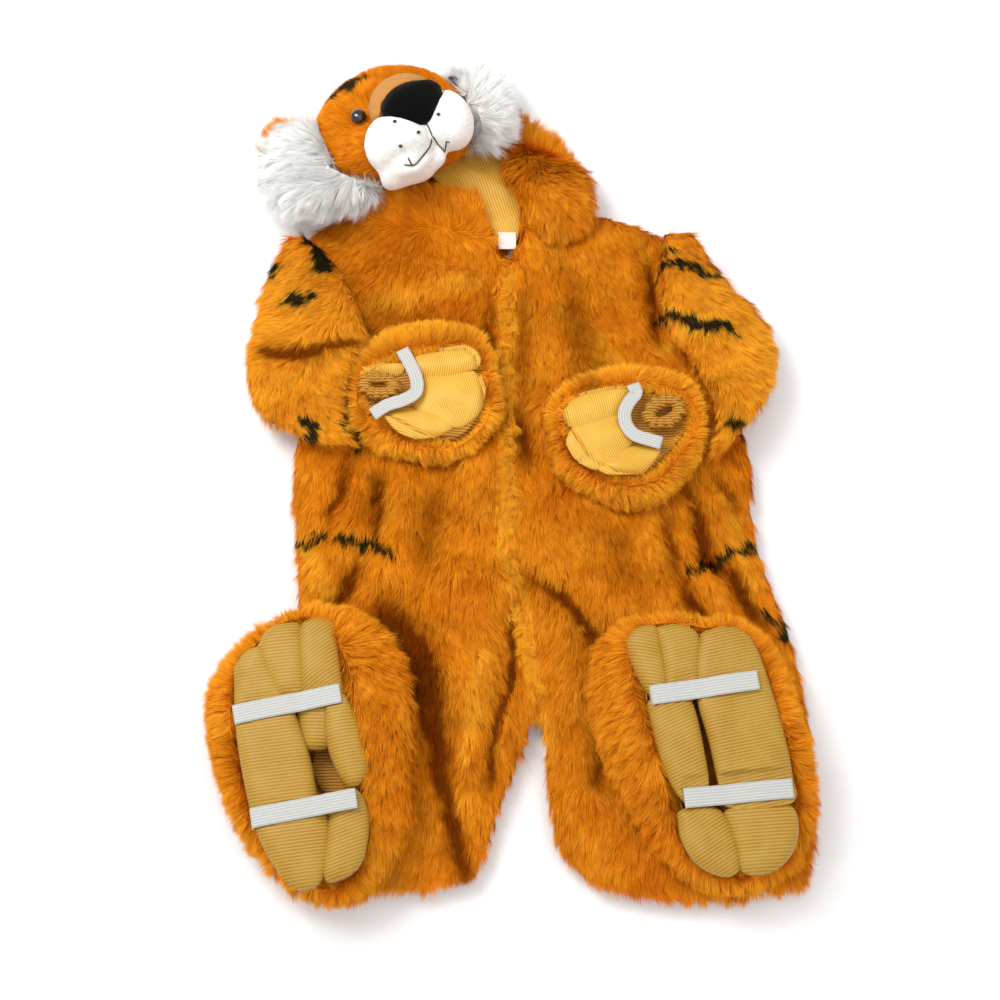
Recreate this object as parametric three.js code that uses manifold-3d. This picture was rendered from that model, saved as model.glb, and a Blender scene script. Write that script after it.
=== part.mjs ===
// Tiger costume for a small child: a one-piece plush suit laid flat on its back, with a plush head
// hood, sleeves folded over the chest, and padded mitts and foot covers turned lining side up.
// Millimetres, +Z up, +Y towards the head, +X the wearer's left. The origin is on the surface
// the costume lies on, under the right back panel.
import * as THREE from 'three';
import { mergeVertices } from 'three/addons/utils/BufferGeometryUtils.js';
import Module from 'manifold-3d';

const SEAM_GAP = 0.3;           // between neighbouring pieces
const FUR = 13;                 // plush cloth with its pile, one layer
const LINING = 5;               // ribbed lining cloth where it is loose
const SIDE_EDGE = 6.5;          // rounding of a plush edge
const BACK_SEAM_X = 12;         // centre back seam, right of the origin's panel
const BOWL_FLOOR = 12;          // fur under a mitt's or foot cover's lining
const BOWL_LINING = 3;          // lining sewn inside a foot cover
const FOOT_ELASTIC = 18;        // width of the elastics across a foot cover
const MITT_ELASTIC = 13;        // width of the elastic across a mitt
const ELASTIC_THICK = 2.2;
const HEAD_HEIGHT = 66;
const ZIP_WIDTH = 24;            // tape of the closure hidden under the centre front fur
const ZIP_THICK = 2;

const costume = new THREE.Group();
costume.name = 'tiger_costume';

const fabric = {
  plush: new THREE.MeshStandardMaterial({ color: 0xd9740f, roughness: 0.95, metalness: 0 }),
  lining: new THREE.MeshStandardMaterial({ color: 0xdca13c, roughness: 0.8, metalness: 0 }),
  elastic: new THREE.MeshStandardMaterial({ color: 0xe9e8e2, roughness: 0.85, metalness: 0 }),
  ruff: new THREE.MeshStandardMaterial({ color: 0xf1f0ee, roughness: 0.95, metalness: 0 }),
  muzzle: new THREE.MeshStandardMaterial({ color: 0xf3f1ee, roughness: 0.9, metalness: 0 }),
  bridge: new THREE.MeshStandardMaterial({ color: 0xc98a48, roughness: 0.9, metalness: 0 }),
  nose: new THREE.MeshStandardMaterial({ color: 0x141312, roughness: 0.85, metalness: 0 }),
  eye: new THREE.MeshStandardMaterial({ color: 0x0c0b0a, roughness: 0.15, metalness: 0 }),
  zip: new THREE.MeshStandardMaterial({ color: 0xb9741c, roughness: 0.7, metalness: 0 }),
  label: new THREE.MeshStandardMaterial({ color: 0xf4f4f2, roughness: 0.7, metalness: 0 }),
};

// ---------------------------------------------------------------- tables

// A panel row runs from its right-hand end (ax, ay) to its left-hand end (bx, by), seen from the
// wearer; bow lifts the row's middle towards the head.
const FRONT_RIGHT = [
  { ax: -207, ay: 294, bx: -24, by: 338, bow: 30 },
  { ax: -206, ay: 262, bx: -5, by: 299, bow: 15 },
  { ax: -205, ay: 225, bx: 4.6, by: 262, bow: 3 },
  { ax: -204, ay: 180, bx: 5.4, by: 200, bow: 0 },
  { ax: -205, ay: 130, bx: 5.4, by: 145, bow: 0 },
  { ax: -208, ay: 85, bx: 5.4, by: 95, bow: 0 },
  { ax: -210, ay: 45, bx: 5.6, by: 48, bow: 0 },
  { ax: -209, ay: 5, bx: 6.6, by: 3, bow: 0 },
  { ax: -205, ay: -35, bx: 9.6, by: -38, bow: 0 },
  { ax: -202, ay: -70, bx: 14.6, by: -75, bow: 0 },
  { ax: -201, ay: -105, bx: 18.6, by: -110, bow: 0 },
  { ax: -202, ay: -140, bx: 23.6, by: -144, bow: 0 },
  { ax: -204, ay: -172, bx: 30.4, by: -174, bow: 0 },
  { ax: -205, ay: -203, bx: 36, by: -203, bow: 0 },
  { ax: -204, ay: -234, bx: 29, by: -232, bow: 0 },
  { ax: -202, ay: -266, bx: 17, by: -262, bow: 0 },
  { ax: -199, ay: -300, bx: 2, by: -298, bow: 0 },
  { ax: -194, ay: -336, bx: -9, by: -334, bow: 0 },
  { ax: -189, ay: -372, bx: -22, by: -366, bow: -10 },
];
const FRONT_LEFT = [
  { ax: 20, ay: 330, bx: 187, by: 291, bow: 16 },
  { ax: 19, ay: 298, bx: 190, by: 262, bow: 9 },
  { ax: 7.6, ay: 262, bx: 196, by: 226, bow: 3 },
  { ax: 6.6, ay: 200, bx: 206, by: 180, bow: 0 },
  { ax: 6.6, ay: 145, bx: 228, by: 132, bow: 0 },
  { ax: 6.6, ay: 95, bx: 249, by: 90, bow: 0 },
  { ax: 6.8, ay: 48, bx: 257, by: 45, bow: 0 },
  { ax: 7.8, ay: 3, bx: 255, by: 3, bow: 0 },
  { ax: 10.8, ay: -38, bx: 256, by: -36, bow: 0 },
  { ax: 15.8, ay: -75, bx: 266, by: -74, bow: 0 },
  { ax: 19.8, ay: -110, bx: 280, by: -112, bow: 0 },
  { ax: 24.9, ay: -144, bx: 289, by: -150, bow: 0 },
  { ax: 31.9, ay: -174, bx: 294, by: -182, bow: 0 },
  { ax: 37.6, ay: -205, bx: 298, by: -214, bow: 0 },
  { ax: 41, ay: -236, bx: 301, by: -246, bow: 0 },
  { ax: 43, ay: -268, bx: 302, by: -278, bow: 0 },
  { ax: 46, ay: -302, bx: 301, by: -312, bow: 0 },
  { ax: 53, ay: -340, bx: 297, by: -346, bow: -4 },
  { ax: 80, ay: -370, bx: 286, by: -374, bow: -16 },
];

// A fold runs from (x0, y0) to (x1, y1); height is its rise (a trough's is negative) and width
// its half width across.
const FRONT_FOLDS = [
  { x0: 6, y0: 300, x1: 6, y1: -52, height: 4, width: 12 },
  { x0: -150, y0: 62, x1: -176, y1: 0, height: -6, width: 11 },
  { x0: -128, y0: 45, x1: -112, y1: -28, height: -5, width: 10 },
  { x0: -104, y0: 24, x1: -92, y1: -30, height: 8, width: 15 },
  { x0: -190, y0: 60, x1: -196, y1: -20, height: 6, width: 13 },
  { x0: -138, y0: -42, x1: -164, y1: -92, height: -6, width: 10 },
  { x0: -112, y0: -46, x1: -130, y1: -96, height: 8, width: 13 },
  { x0: -178, y0: -50, x1: -184, y1: -120, height: 6, width: 15 },
  { x0: -14, y0: 6, x1: -9, y1: -52, height: -5, width: 7 },
  { x0: 10, y0: -82, x1: -36, y1: -78, height: 6, width: 13 },
  { x0: -36, y0: -78, x1: -60, y1: -176, height: 13, width: 18 },
  { x0: -60, y0: -176, x1: -100, y1: -262, height: 9, width: 18 },
  { x0: -92, y0: -106, x1: -98, y1: -142, height: -6, width: 12 },
  { x0: 0, y0: -140, x1: -30, y1: -300, height: 9, width: 17 },
  { x0: 188, y0: 22, x1: 214, y1: -50, height: -6, width: 10 },
  { x0: 224, y0: 30, x1: 236, y1: -48, height: 8, width: 14 },
  { x0: 176, y0: -60, x1: 204, y1: -116, height: -6, width: 10 },
  { x0: 148, y0: -50, x1: 168, y1: -112, height: 9, width: 15 },
  { x0: 226, y0: -80, x1: 254, y1: -140, height: 8, width: 15 },
  { x0: 60, y0: -60, x1: 52, y1: -170, height: 9, width: 17 },
  { x0: 64, y0: -200, x1: 74, y1: -330, height: 8, width: 17 },
  { x0: 104, y0: 0, x1: 112, y1: -70, height: 6, width: 16 },
  { x0: 60, y0: 240, x1: 150, y1: 222, height: 7, width: 16 },
  { x0: 40, y0: 190, x1: 120, y1: 168, height: 5, width: 14 },
  { x0: -60, y0: 262, x1: -150, y1: 236, height: 8, width: 17 },
  { x0: -60, y0: 216, x1: -120, y1: 206, height: 4, width: 14 },
  { x0: -44, y0: 306, x1: -60, y1: 268, height: -4, width: 10 },
];

// Sleeve rows run from the outer edge (a) to the inner edge (b), from the shoulder round the
// elbow to the wrist.
const SLEEVE_RIGHT = [
  { ax: -221, ay: 284, bx: -197, by: 281, bow: 0 },
  { ax: -232, ay: 262, bx: -180, by: 262, bow: 0 },
  { ax: -240, ay: 240, bx: -163, by: 241, bow: 0 },
  { ax: -247, ay: 212, bx: -150, by: 214, bow: 0 },
  { ax: -252, ay: 182, bx: -141, by: 193, bow: 0 },
  { ax: -259, ay: 148, bx: -137, by: 182, bow: 0 },
  { ax: -256, ay: 112, bx: -136, by: 175, bow: 0 },
  { ax: -238, ay: 83, bx: -136, by: 171, bow: 3 },
  { ax: -206, ay: 63, bx: -136, by: 168, bow: 7 },
  { ax: -175, ay: 54, bx: -137, by: 167, bow: 13 },
  { ax: -147, ay: 53, bx: -136, by: 166, bow: 18 },
];
const SLEEVE_LEFT = [
  { ax: 202, ay: 290, bx: 168, by: 291, bow: 0 },
  { ax: 217, ay: 262, bx: 165, by: 255, bow: 0 },
  { ax: 232, ay: 238, bx: 164, by: 224, bow: 0 },
  { ax: 248, ay: 218, bx: 168, by: 196, bow: 0 },
  { ax: 272, ay: 200, bx: 176, by: 174, bow: 0 },
  { ax: 283, ay: 170, bx: 185, by: 159, bow: 0 },
  { ax: 281, ay: 136, bx: 191, by: 150, bow: 0 },
  { ax: 268, ay: 102, bx: 195, by: 144.5, bow: -2 },
  { ax: 250, ay: 74, bx: 197, by: 141, bow: -5 },
  { ax: 232, ay: 54, bx: 198.5, by: 138.5, bow: -8 },
  { ax: 212, ay: 38, bx: 200, by: 136.5, bow: -12 },
];
const SLEEVE_RIGHT_FOLDS = [
  { x0: -250, y0: 160, x1: -150, y1: 166, height: 9, width: 13 },
  { x0: -246, y0: 184, x1: -160, y1: 188, height: -4, width: 9 },
  { x0: -228, y0: 130, x1: -160, y1: 118, height: -4, width: 11 },
  { x0: -226, y0: 104, x1: -150, y1: 92, height: 5, width: 14 },
  { x0: -226, y0: 232, x1: -186, y1: 216, height: 4, width: 12 },
];
const SLEEVE_LEFT_FOLDS = [
  { x0: 256, y0: 206, x1: 186, y1: 176, height: 9, width: 12 },
  { x0: 236, y0: 218, x1: 178, y1: 198, height: -4, width: 9 },
  { x0: 262, y0: 150, x1: 192, y1: 138, height: -4, width: 11 },
  { x0: 254, y0: 116, x1: 190, y1: 100, height: 5, width: 15 },
  { x0: 206, y0: 252, x1: 172, y1: 240, height: 4, width: 12 },
];

// A bowl row is one direction from the bowl's centre, in degrees from +X: the outer reach of its
// fur, the radius of its rim's inner side, and the height of its rim.
const MITT_RIGHT = {
  centre: { x: -78, y: 110 },
  rows: [
    { angle: 0, outer: 80, rim: 63, top: 59 }, { angle: 20, outer: 79, rim: 61, top: 60 },
    { angle: 40, outer: 88, rim: 67, top: 61 }, { angle: 60, outer: 86, rim: 51, top: 61 },
    { angle: 80, outer: 79, rim: 44, top: 61 }, { angle: 100, outer: 76, rim: 41, top: 61 },
    { angle: 120, outer: 78, rim: 43, top: 61 }, { angle: 140, outer: 79, rim: 49, top: 61 },
    { angle: 160, outer: 77, rim: 61, top: 60 }, { angle: 180, outer: 76, rim: 61, top: 59 },
    { angle: 200, outer: 78, rim: 61, top: 58 }, { angle: 220, outer: 80, rim: 49, top: 57 },
    { angle: 240, outer: 71, rim: 46, top: 56 }, { angle: 260, outer: 69, rim: 50, top: 56 },
    { angle: 280, outer: 75, rim: 56, top: 56 }, { angle: 300, outer: 76, rim: 67, top: 57 },
    { angle: 320, outer: 78, rim: 69, top: 58 }, { angle: 340, outer: 82, rim: 68, top: 59 },
  ],
};
const MITT_LEFT = {
  centre: { x: 126, y: 68 },
  rows: [
    { angle: 0, outer: 80, rim: 64, top: 61 }, { angle: 20, outer: 85, rim: 68, top: 62 },
    { angle: 40, outer: 88, rim: 60, top: 62 }, { angle: 60, outer: 79, rim: 51, top: 62 },
    { angle: 80, outer: 73, rim: 45, top: 61 }, { angle: 100, outer: 70, rim: 45, top: 60 },
    { angle: 120, outer: 73, rim: 50, top: 59 }, { angle: 140, outer: 78, rim: 59, top: 58 },
    { angle: 160, outer: 84, rim: 70, top: 57 }, { angle: 180, outer: 74, rim: 61, top: 57 },
    { angle: 200, outer: 79, rim: 53, top: 57 }, { angle: 220, outer: 79, rim: 52, top: 57 },
    { angle: 240, outer: 73, rim: 52, top: 57 }, { angle: 260, outer: 79, rim: 53, top: 57 },
    { angle: 280, outer: 79, rim: 53, top: 57 }, { angle: 300, outer: 78, rim: 54, top: 58 },
    { angle: 320, outer: 77, rim: 52, top: 59 }, { angle: 340, outer: 78, rim: 56, top: 60 },
  ],
};
const FOOT_RIGHT = {
  centre: { x: -196, y: -262 },
  rows: [
    { angle: 0, outer: 118, rim: 59, top: 84 }, { angle: 20, outer: 122, rim: 59, top: 84 },
    { angle: 40, outer: 140, rim: 67, top: 83 }, { angle: 60, outer: 153, rim: 92, top: 82 },
    { angle: 80, outer: 151, rim: 122, top: 80 }, { angle: 100, outer: 135, rim: 118, top: 79 },
    { angle: 120, outer: 122, rim: 87, top: 77 }, { angle: 140, outer: 111, rim: 64, top: 75 },
    { angle: 160, outer: 89, rim: 47, top: 73 }, { angle: 180, outer: 76, rim: 41, top: 72 },
    { angle: 200, outer: 72, rim: 40, top: 70 }, { angle: 220, outer: 74, rim: 45, top: 69 },
    { angle: 240, outer: 84, rim: 58, top: 66 }, { angle: 260, outer: 102, rim: 77, top: 60 },
    { angle: 280, outer: 132, rim: 116, top: 58 }, { angle: 300, outer: 145, rim: 120, top: 64 },
    { angle: 320, outer: 136, rim: 85, top: 74 }, { angle: 340, outer: 125, rim: 67, top: 80 },
  ],
};
const FOOT_LEFT = {
  centre: { x: 207, y: -250 },
  rows: [
    { angle: 0, outer: 84, rim: 50, top: 78 }, { angle: 20, outer: 83, rim: 49, top: 80 },
    { angle: 40, outer: 91, rim: 54, top: 80 }, { angle: 60, outer: 109, rim: 71, top: 80 },
    { angle: 80, outer: 125, rim: 96, top: 80 }, { angle: 100, outer: 122, rim: 105, top: 80 },
    { angle: 120, outer: 145, rim: 126, top: 80 }, { angle: 140, outer: 152, rim: 101, top: 82 },
    { angle: 160, outer: 131, rim: 69, top: 82 }, { angle: 180, outer: 113, rim: 58, top: 82 },
    { angle: 200, outer: 106, rim: 56, top: 80 }, { angle: 220, outer: 106, rim: 61, top: 76 },
    { angle: 240, outer: 114, rim: 78, top: 68 }, { angle: 260, outer: 129, rim: 107, top: 60 },
    { angle: 280, outer: 135, rim: 117, top: 57 }, { angle: 300, outer: 129, rim: 107, top: 60 },
    { angle: 320, outer: 114, rim: 81, top: 66 }, { angle: 340, outer: 95, rim: 58, top: 72 },
  ],
};

// Lining pads of the mitts: rows along the pad from its first to its last section; half is the
// pad's half width, top its height above the mitt's floor.
const MITT_PADS_RIGHT = [
  { name: 'finger', x0: -84, y0: 134, x1: -28, y1: 138, half: 15, top: 19 },
  { name: 'palm', x0: -66, y0: 101, x1: -26, y1: 97, half: 20, top: 20 },
  { name: 'heel', x0: -104, y0: 77, x1: -56, y1: 65, half: 14, top: 18 },
];
const MITT_PADS_LEFT = [
  { name: 'finger', x0: 72, y0: 79, x1: 120, y1: 101, half: 15, top: 19 },
  { name: 'palm', x0: 78, y0: 51, x1: 118, y1: 60, half: 17, top: 20 },
  { name: 'heel', x0: 106, y0: 22, x1: 156, y1: 38, half: 14, top: 18 },
];
const MITT_CUFF_RIGHT = { x: -121, y: 110, reach: 19, hole: 6, wide: 1.2, deep: 0.8, turn: -0.1 };
const MITT_CUFF_LEFT = { x: 164, y: 83, reach: 19, hole: 7, wide: 1.25, deep: 0.95, turn: 0.5 };

// Padded lining rolls round a foot cover's opening: half is the roll's half width, top the
// height of its crest above the floor it lies on.
const FOOT_ROLLS_RIGHT = {
  toe_outer: [
    { x: -207, y: -150, half: 16, top: 34 }, { x: -206, y: -171, half: 20, top: 38 },
    { x: -203, y: -198, half: 18, top: 36 },
  ],
  toe_inner: [
    { x: -173, y: -143, half: 19, top: 36 }, { x: -171, y: -169, half: 22, top: 40 },
    { x: -173, y: -212, half: 18, top: 36 },
  ],
  side_outer: [
    { x: -230, y: -182, half: 17, top: 34 }, { x: -222, y: -210, half: 25, top: 37 },
    { x: -212, y: -247, half: 30, top: 40 }, { x: -197, y: -296, half: 30, top: 40 },
    { x: -181, y: -337, half: 29, top: 36 }, { x: -165, y: -370, half: 19, top: 30 },
  ],
  side_inner: [
    { x: -150, y: -198, half: 14, top: 37 }, { x: -145, y: -238, half: 18, top: 40 },
    { x: -140, y: -284, half: 22, top: 40 }, { x: -139, y: -325, half: 24, top: 38 },
    { x: -148, y: -374, half: 16, top: 31 },
  ],
};
const FOOT_ROLLS_LEFT = {
  toe_inner: [
    { x: 132, y: -149, half: 15, top: 36 }, { x: 137, y: -169, half: 19, top: 39 },
    { x: 143, y: -192, half: 15, top: 36 },
  ],
  toe_outer: [
    { x: 168, y: -149, half: 20, top: 36 }, { x: 171, y: -171, half: 22, top: 39 },
    { x: 173, y: -204, half: 18, top: 36 },
  ],
  side_outer: [
    { x: 213, y: -152, half: 20, top: 36 }, { x: 227, y: -196, half: 29, top: 40 },
    { x: 240, y: -250, half: 32, top: 40 }, { x: 247, y: -299, half: 27, top: 36 },
  ],
  side_inner: [
    { x: 142, y: -190, half: 13, top: 36 }, { x: 152, y: -224, half: 20, top: 39 },
    { x: 163, y: -258, half: 21, top: 39 }, { x: 179, y: -296, half: 21, top: 35 },
  ],
  heel_inner: [
    { x: 183, y: -310, half: 20, top: 33 }, { x: 194, y: -335, half: 27, top: 35 },
    { x: 208, y: -362, half: 20, top: 29 },
  ],
  heel_outer: [
    { x: 243, y: -307, half: 27, top: 35 }, { x: 246, y: -333, half: 31, top: 36 },
    { x: 240, y: -362, half: 22, top: 29 },
  ],
};

// Elastic bands across the openings.
const FOOT_ELASTICS = [
  { on: 'foot_right', name: 'foot_right_elastic_toe', x0: -247, y0: -226, x1: -148, y1: -206 },
  { on: 'foot_right', name: 'foot_right_elastic_heel', x0: -228, y0: -321, x1: -130, y1: -303 },
  { on: 'foot_left', name: 'foot_left_elastic_toe', x0: 139, y0: -208, x1: 240, y1: -194 },
  { on: 'foot_left', name: 'foot_left_elastic_heel', x0: 168, y0: -302, x1: 268, y1: -293 },
];
const MITT_ELASTICS = [
  {
    on: 'mitt_right', name: 'mitt_right_elastic',
    points: [[-97, 151], [-90, 132], [-84, 112], [-96, 92], [-131, 77]],
  },
  {
    on: 'mitt_left', name: 'mitt_left_elastic',
    points: [[134, 112], [128, 90], [125, 70], [137, 56], [168, 48]],
  },
];

// Outline of the head pieces: reach in each direction from the piece's centre.
const HEAD = {
  centre: { x: -112, y: 419 },
  rows: [
    { angle: 0, reach: 84 }, { angle: 30, reach: 84 }, { angle: 60, reach: 81 },
    { angle: 90, reach: 78 }, { angle: 120, reach: 79 }, { angle: 150, reach: 84 },
    { angle: 180, reach: 92 }, { angle: 210, reach: 90 }, { angle: 240, reach: 80 },
    { angle: 270, reach: 72 }, { angle: 300, reach: 74 }, { angle: 330, reach: 84 },
  ],
};
const RUFF_RIGHT = {
  centre: { x: -186, y: 352 },
  rows: [
    { angle: 0, reach: 62 }, { angle: 30, reach: 52 }, { angle: 60, reach: 50 },
    { angle: 90, reach: 62 }, { angle: 120, reach: 78 }, { angle: 150, reach: 74 },
    { angle: 180, reach: 62 }, { angle: 210, reach: 52 }, { angle: 240, reach: 52 },
    { angle: 270, reach: 46 }, { angle: 300, reach: 42 }, { angle: 330, reach: 50 },
  ],
};
const RUFF_LEFT = {
  centre: { x: -20, y: 446 },
  rows: [
    { angle: 0, reach: 33 }, { angle: 30, reach: 36 }, { angle: 60, reach: 44 },
    { angle: 90, reach: 56 }, { angle: 120, reach: 56 }, { angle: 150, reach: 44 },
    { angle: 180, reach: 34 }, { angle: 210, reach: 34 }, { angle: 240, reach: 40 },
    { angle: 270, reach: 52 }, { angle: 300, reach: 49 }, { angle: 330, reach: 36 },
  ],
};
const EAR_RIGHT = {
  centre: { x: -234, y: 411 },
  rows: [
    { angle: 0, reach: 34 }, { angle: 60, reach: 27 }, { angle: 120, reach: 25 },
    { angle: 180, reach: 20 }, { angle: 240, reach: 24 }, { angle: 300, reach: 33 },
  ],
};
const NOSE = {
  centre: { x: -90, y: 405 },
  rows: [
    { angle: 0, reach: 29 }, { angle: 40, reach: 37 }, { angle: 80, reach: 26 },
    { angle: 120, reach: 23 }, { angle: 160, reach: 27 }, { angle: 200, reach: 35 },
    { angle: 240, reach: 28 }, { angle: 280, reach: 26 }, { angle: 320, reach: 27 },
  ],
};
const HOOD_SIDE = {
  centre: { x: 48, y: 345 },
  rows: [
    { angle: 0, reach: 50 }, { angle: 30, reach: 51 }, { angle: 60, reach: 50 },
    { angle: 90, reach: 56 }, { angle: 120, reach: 70 }, { angle: 150, reach: 52 },
    { angle: 180, reach: 34 }, { angle: 210, reach: 31 }, { angle: 240, reach: 38 },
    { angle: 270, reach: 56 }, { angle: 300, reach: 64 }, { angle: 330, reach: 58 },
  ],
};
const HOOD_BACK = [
  { ax: -190, ay: 456, bx: 14, by: 458, bow: 24 },
  { ax: -198, ay: 424, bx: 50, by: 430, bow: 0 },
  { ax: -190, ay: 392, bx: 86, by: 394, bow: 0 },
  { ax: -146, ay: 374, bx: 94, by: 366, bow: 0 },
  { ax: -98, ay: 363, bx: 84, by: 347, bow: 5 },
];
const HOOD_LINING = [
  { ax: -76, ay: 408, bx: 10, by: 410, bow: 0 },
  { ax: -80, ay: 384, bx: 18, by: 386, bow: 0 },
  { ax: -72, ay: 362, bx: 22, by: 362, bow: 0 },
  { ax: -50, ay: 342, bx: 24, by: 340, bow: 0 },
  { ax: -24, ay: 322, bx: 24, by: 320, bow: 0 },
  { ax: -10, ay: 302, bx: 22, by: 302, bow: 0 },
  { ax: 0, ay: 284, bx: 15, by: 284, bow: 0 },
];
const HOOD_LINING_FOLDS = [
  { x0: -64, y0: 398, x1: 6, y1: 340, height: 5, width: 8 },
  { x0: -74, y0: 370, x1: -12, y1: 326, height: 5, width: 8 },
];

// ---------------------------------------------------------------- geometry helpers

const wasm = await Module();
wasm.setup();

const smoothStep = (t) => t * t * (3 - 2 * t);
const roundEdge = (inset, radius) => {
  const t = Math.min(Math.max(inset / radius, 0), 1);
  return Math.sqrt(1 - (1 - t) * (1 - t));
};

function catmull(p0, p1, p2, p3, t) {
  const c = [2 * p1, p2 - p0, 2 * p0 - 5 * p1 + 4 * p2 - p3, 3 * p1 - p0 - 3 * p2 + p3];
  return 0.5 * (c[0] + c[1] * t + c[2] * t * t + c[3] * t * t * t);
}

// Every numeric column of a table at t, from 0 at the first row to 1 at the last.
function readTable(rows, t, loop = false) {
  const n = rows.length;
  const at = Math.min(Math.max(t, 0), 1) * (loop ? n : n - 1);
  const i = Math.min(Math.floor(at), loop ? n - 1 : n - 2);
  const pick = (k) => rows[loop ? (k + n) % n : Math.min(Math.max(k, 0), n - 1)];
  const out = {};
  for (const key of Object.keys(rows[0])) {
    if (typeof rows[0][key] !== 'number') continue;
    const q = [i - 1, i, i + 1, i + 2].map((k) => pick(k)[key]);
    out[key] = catmull(q[0], q[1], q[2], q[3], at - i);
  }
  return out;
}

function foldHeight(folds, x, y) {
  let h = 0;
  for (const f of folds) {
    const dx = f.x1 - f.x0;
    const dy = f.y1 - f.y0;
    const s = ((x - f.x0) * dx + (y - f.y0) * dy) / (dx * dx + dy * dy);
    const c = Math.min(Math.max(s, 0), 1);
    const d = Math.hypot(x - f.x0 - c * dx, y - f.y0 - c * dy);
    h += f.height * Math.exp(-(d / f.width) * (d / f.width));
  }
  return h;
}

// Highest point of what is already laid down, on a grid over the costume.
class Ground {
  constructor(half = 480, cell = 4) {
    this.half = half;
    this.cell = cell;
    this.n = Math.ceil((2 * half) / cell);
    this.z = new Float32Array(this.n * this.n);
  }

  add(geometry) {
    const pos = geometry.getAttribute('position');
    const index = geometry.getIndex();
    for (let t = 0; t < index.count; t += 3) {
      const p = [0, 1, 2].map((k) => {
        const v = index.getX(t + k);
        return [pos.getX(v), pos.getY(v), pos.getZ(v)];
      });
      this.addTriangle(p);
    }
  }

  addTriangle([a, b, c]) {
    const area = (b[0] - a[0]) * (c[1] - a[1]) - (b[1] - a[1]) * (c[0] - a[0]);
    if (Math.abs(area) < 1e-6) return;
    const cellOf = (v) => (v + this.half) / this.cell;
    const lo = (k) => Math.max(Math.floor(cellOf(Math.min(a[k], b[k], c[k]))), 0);
    const hi = (k) => Math.min(Math.ceil(cellOf(Math.max(a[k], b[k], c[k]))), this.n - 1);
    for (let i = lo(0); i <= hi(0); i++) {
      for (let j = lo(1); j <= hi(1); j++) {
        const x = i * this.cell - this.half;
        const y = j * this.cell - this.half;
        const u = ((x - a[0]) * (c[1] - a[1]) - (y - a[1]) * (c[0] - a[0])) / area;
        const v = ((b[0] - a[0]) * (y - a[1]) - (b[1] - a[1]) * (x - a[0])) / area;
        if (u < -1e-6 || v < -1e-6 || u + v > 1 + 1e-6) continue;
        const z = a[2] + u * (b[2] - a[2]) + v * (c[2] - a[2]);
        const at = i * this.n + j;
        if (z > this.z[at]) this.z[at] = z;
      }
    }
  }

  at(x, y) {
    const cell = (v) => Math.round((v + this.half) / this.cell);
    return this.z[cell(x) * this.n + cell(y)];
  }

  // Cloth bridges what is within spread of (x, y) and falls away from it at the slope.
  under(x, y, spread, slope) {
    const reach = spread + 34 / slope;
    const span = Math.ceil(reach / this.cell);
    const ci = Math.round((x + this.half) / this.cell);
    const cj = Math.round((y + this.half) / this.cell);
    let best = 0;
    for (let i = Math.max(ci - span, 0); i <= Math.min(ci + span, this.n - 1); i++) {
      for (let j = Math.max(cj - span, 0); j <= Math.min(cj + span, this.n - 1); j++) {
        const h = this.z[i * this.n + j];
        if (h <= best) continue;
        const d = Math.hypot(i * this.cell - this.half - x, j * this.cell - this.half - y);
        best = Math.max(best, h - slope * Math.max(d - spread, 0));
      }
    }
    return best + SEAM_GAP;
  }
}

function closedGeometry(points, triangles) {
  const g = new THREE.BufferGeometry();
  g.setAttribute('position', new THREE.Float32BufferAttribute(points.flat(), 3));
  g.setIndex(triangles.flat());
  return mergeVertices(g, 1e-4);
}

function insets(length, count, edge) {
  const e = Math.min(edge, length * 0.24);
  const steps = [0, (0.3 * e) / length, e / length];
  for (let k = 1; k < count; k++) {
    steps.push(e / length + (1 - (2 * e) / length) * (k / count));
  }
  return [...steps, 1 - e / length, 1 - (0.3 * e) / length, 1];
}

// A layer of cloth from a table of rows: rounded at its edges, lying on the ground below it,
// lifted by its folds.
function layer(rows, spec) {
  const { down, across, thick, folds = [], ground = null, puff = 0 } = spec;
  const { spread = 14, slope = 0.55, edge = SIDE_EDGE, floor = 0 } = spec;
  const length = rows.slice(1).reduce((sum, r, i) => {
    const q = rows[i];
    return sum + Math.hypot(r.ax + r.bx - q.ax - q.bx, r.ay + r.by - q.ay - q.by) / 2;
  }, 0);
  const downSteps = insets(length, down, edge);
  const top = [];
  const bottom = [];
  const m = downSteps.length;
  let n = 0;
  for (const v of downSteps) {
    const r = readTable(rows, v);
    const width = Math.hypot(r.bx - r.ax, r.by - r.ay);
    const acrossSteps = insets(width, across, edge);
    n = acrossSteps.length;
    for (const u of acrossSteps) {
      const bow = r.bow * 4 * u * (1 - u);
      const x = r.ax + (r.bx - r.ax) * u - (bow * (r.by - r.ay)) / width;
      const y = r.ay + (r.by - r.ay) * u + (bow * (r.bx - r.ax)) / width;
      const inset = Math.min(u * width, (1 - u) * width, v * length, (1 - v) * length);
      const round = roundEdge(inset, Math.min(edge, width * 0.24));
      const body = smoothStep(Math.min(inset / 40, 1));
      const base = Math.max(ground ? ground.under(x, y, spread, slope) : 0, floor);
      const lift = Math.max(foldHeight(folds, x, y) * body + puff * body, 0);
      const sink = Math.min(foldHeight(folds, x, y) * body + puff * body, 0);
      const mid = base + lift + thick / 2;
      top.push([x, y, mid + (thick / 2 + sink) * round]);
      bottom.push([x, y, mid - (thick / 2) * round]);
    }
  }
  return slabFromGrids(top, bottom, m, n);
}

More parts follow.
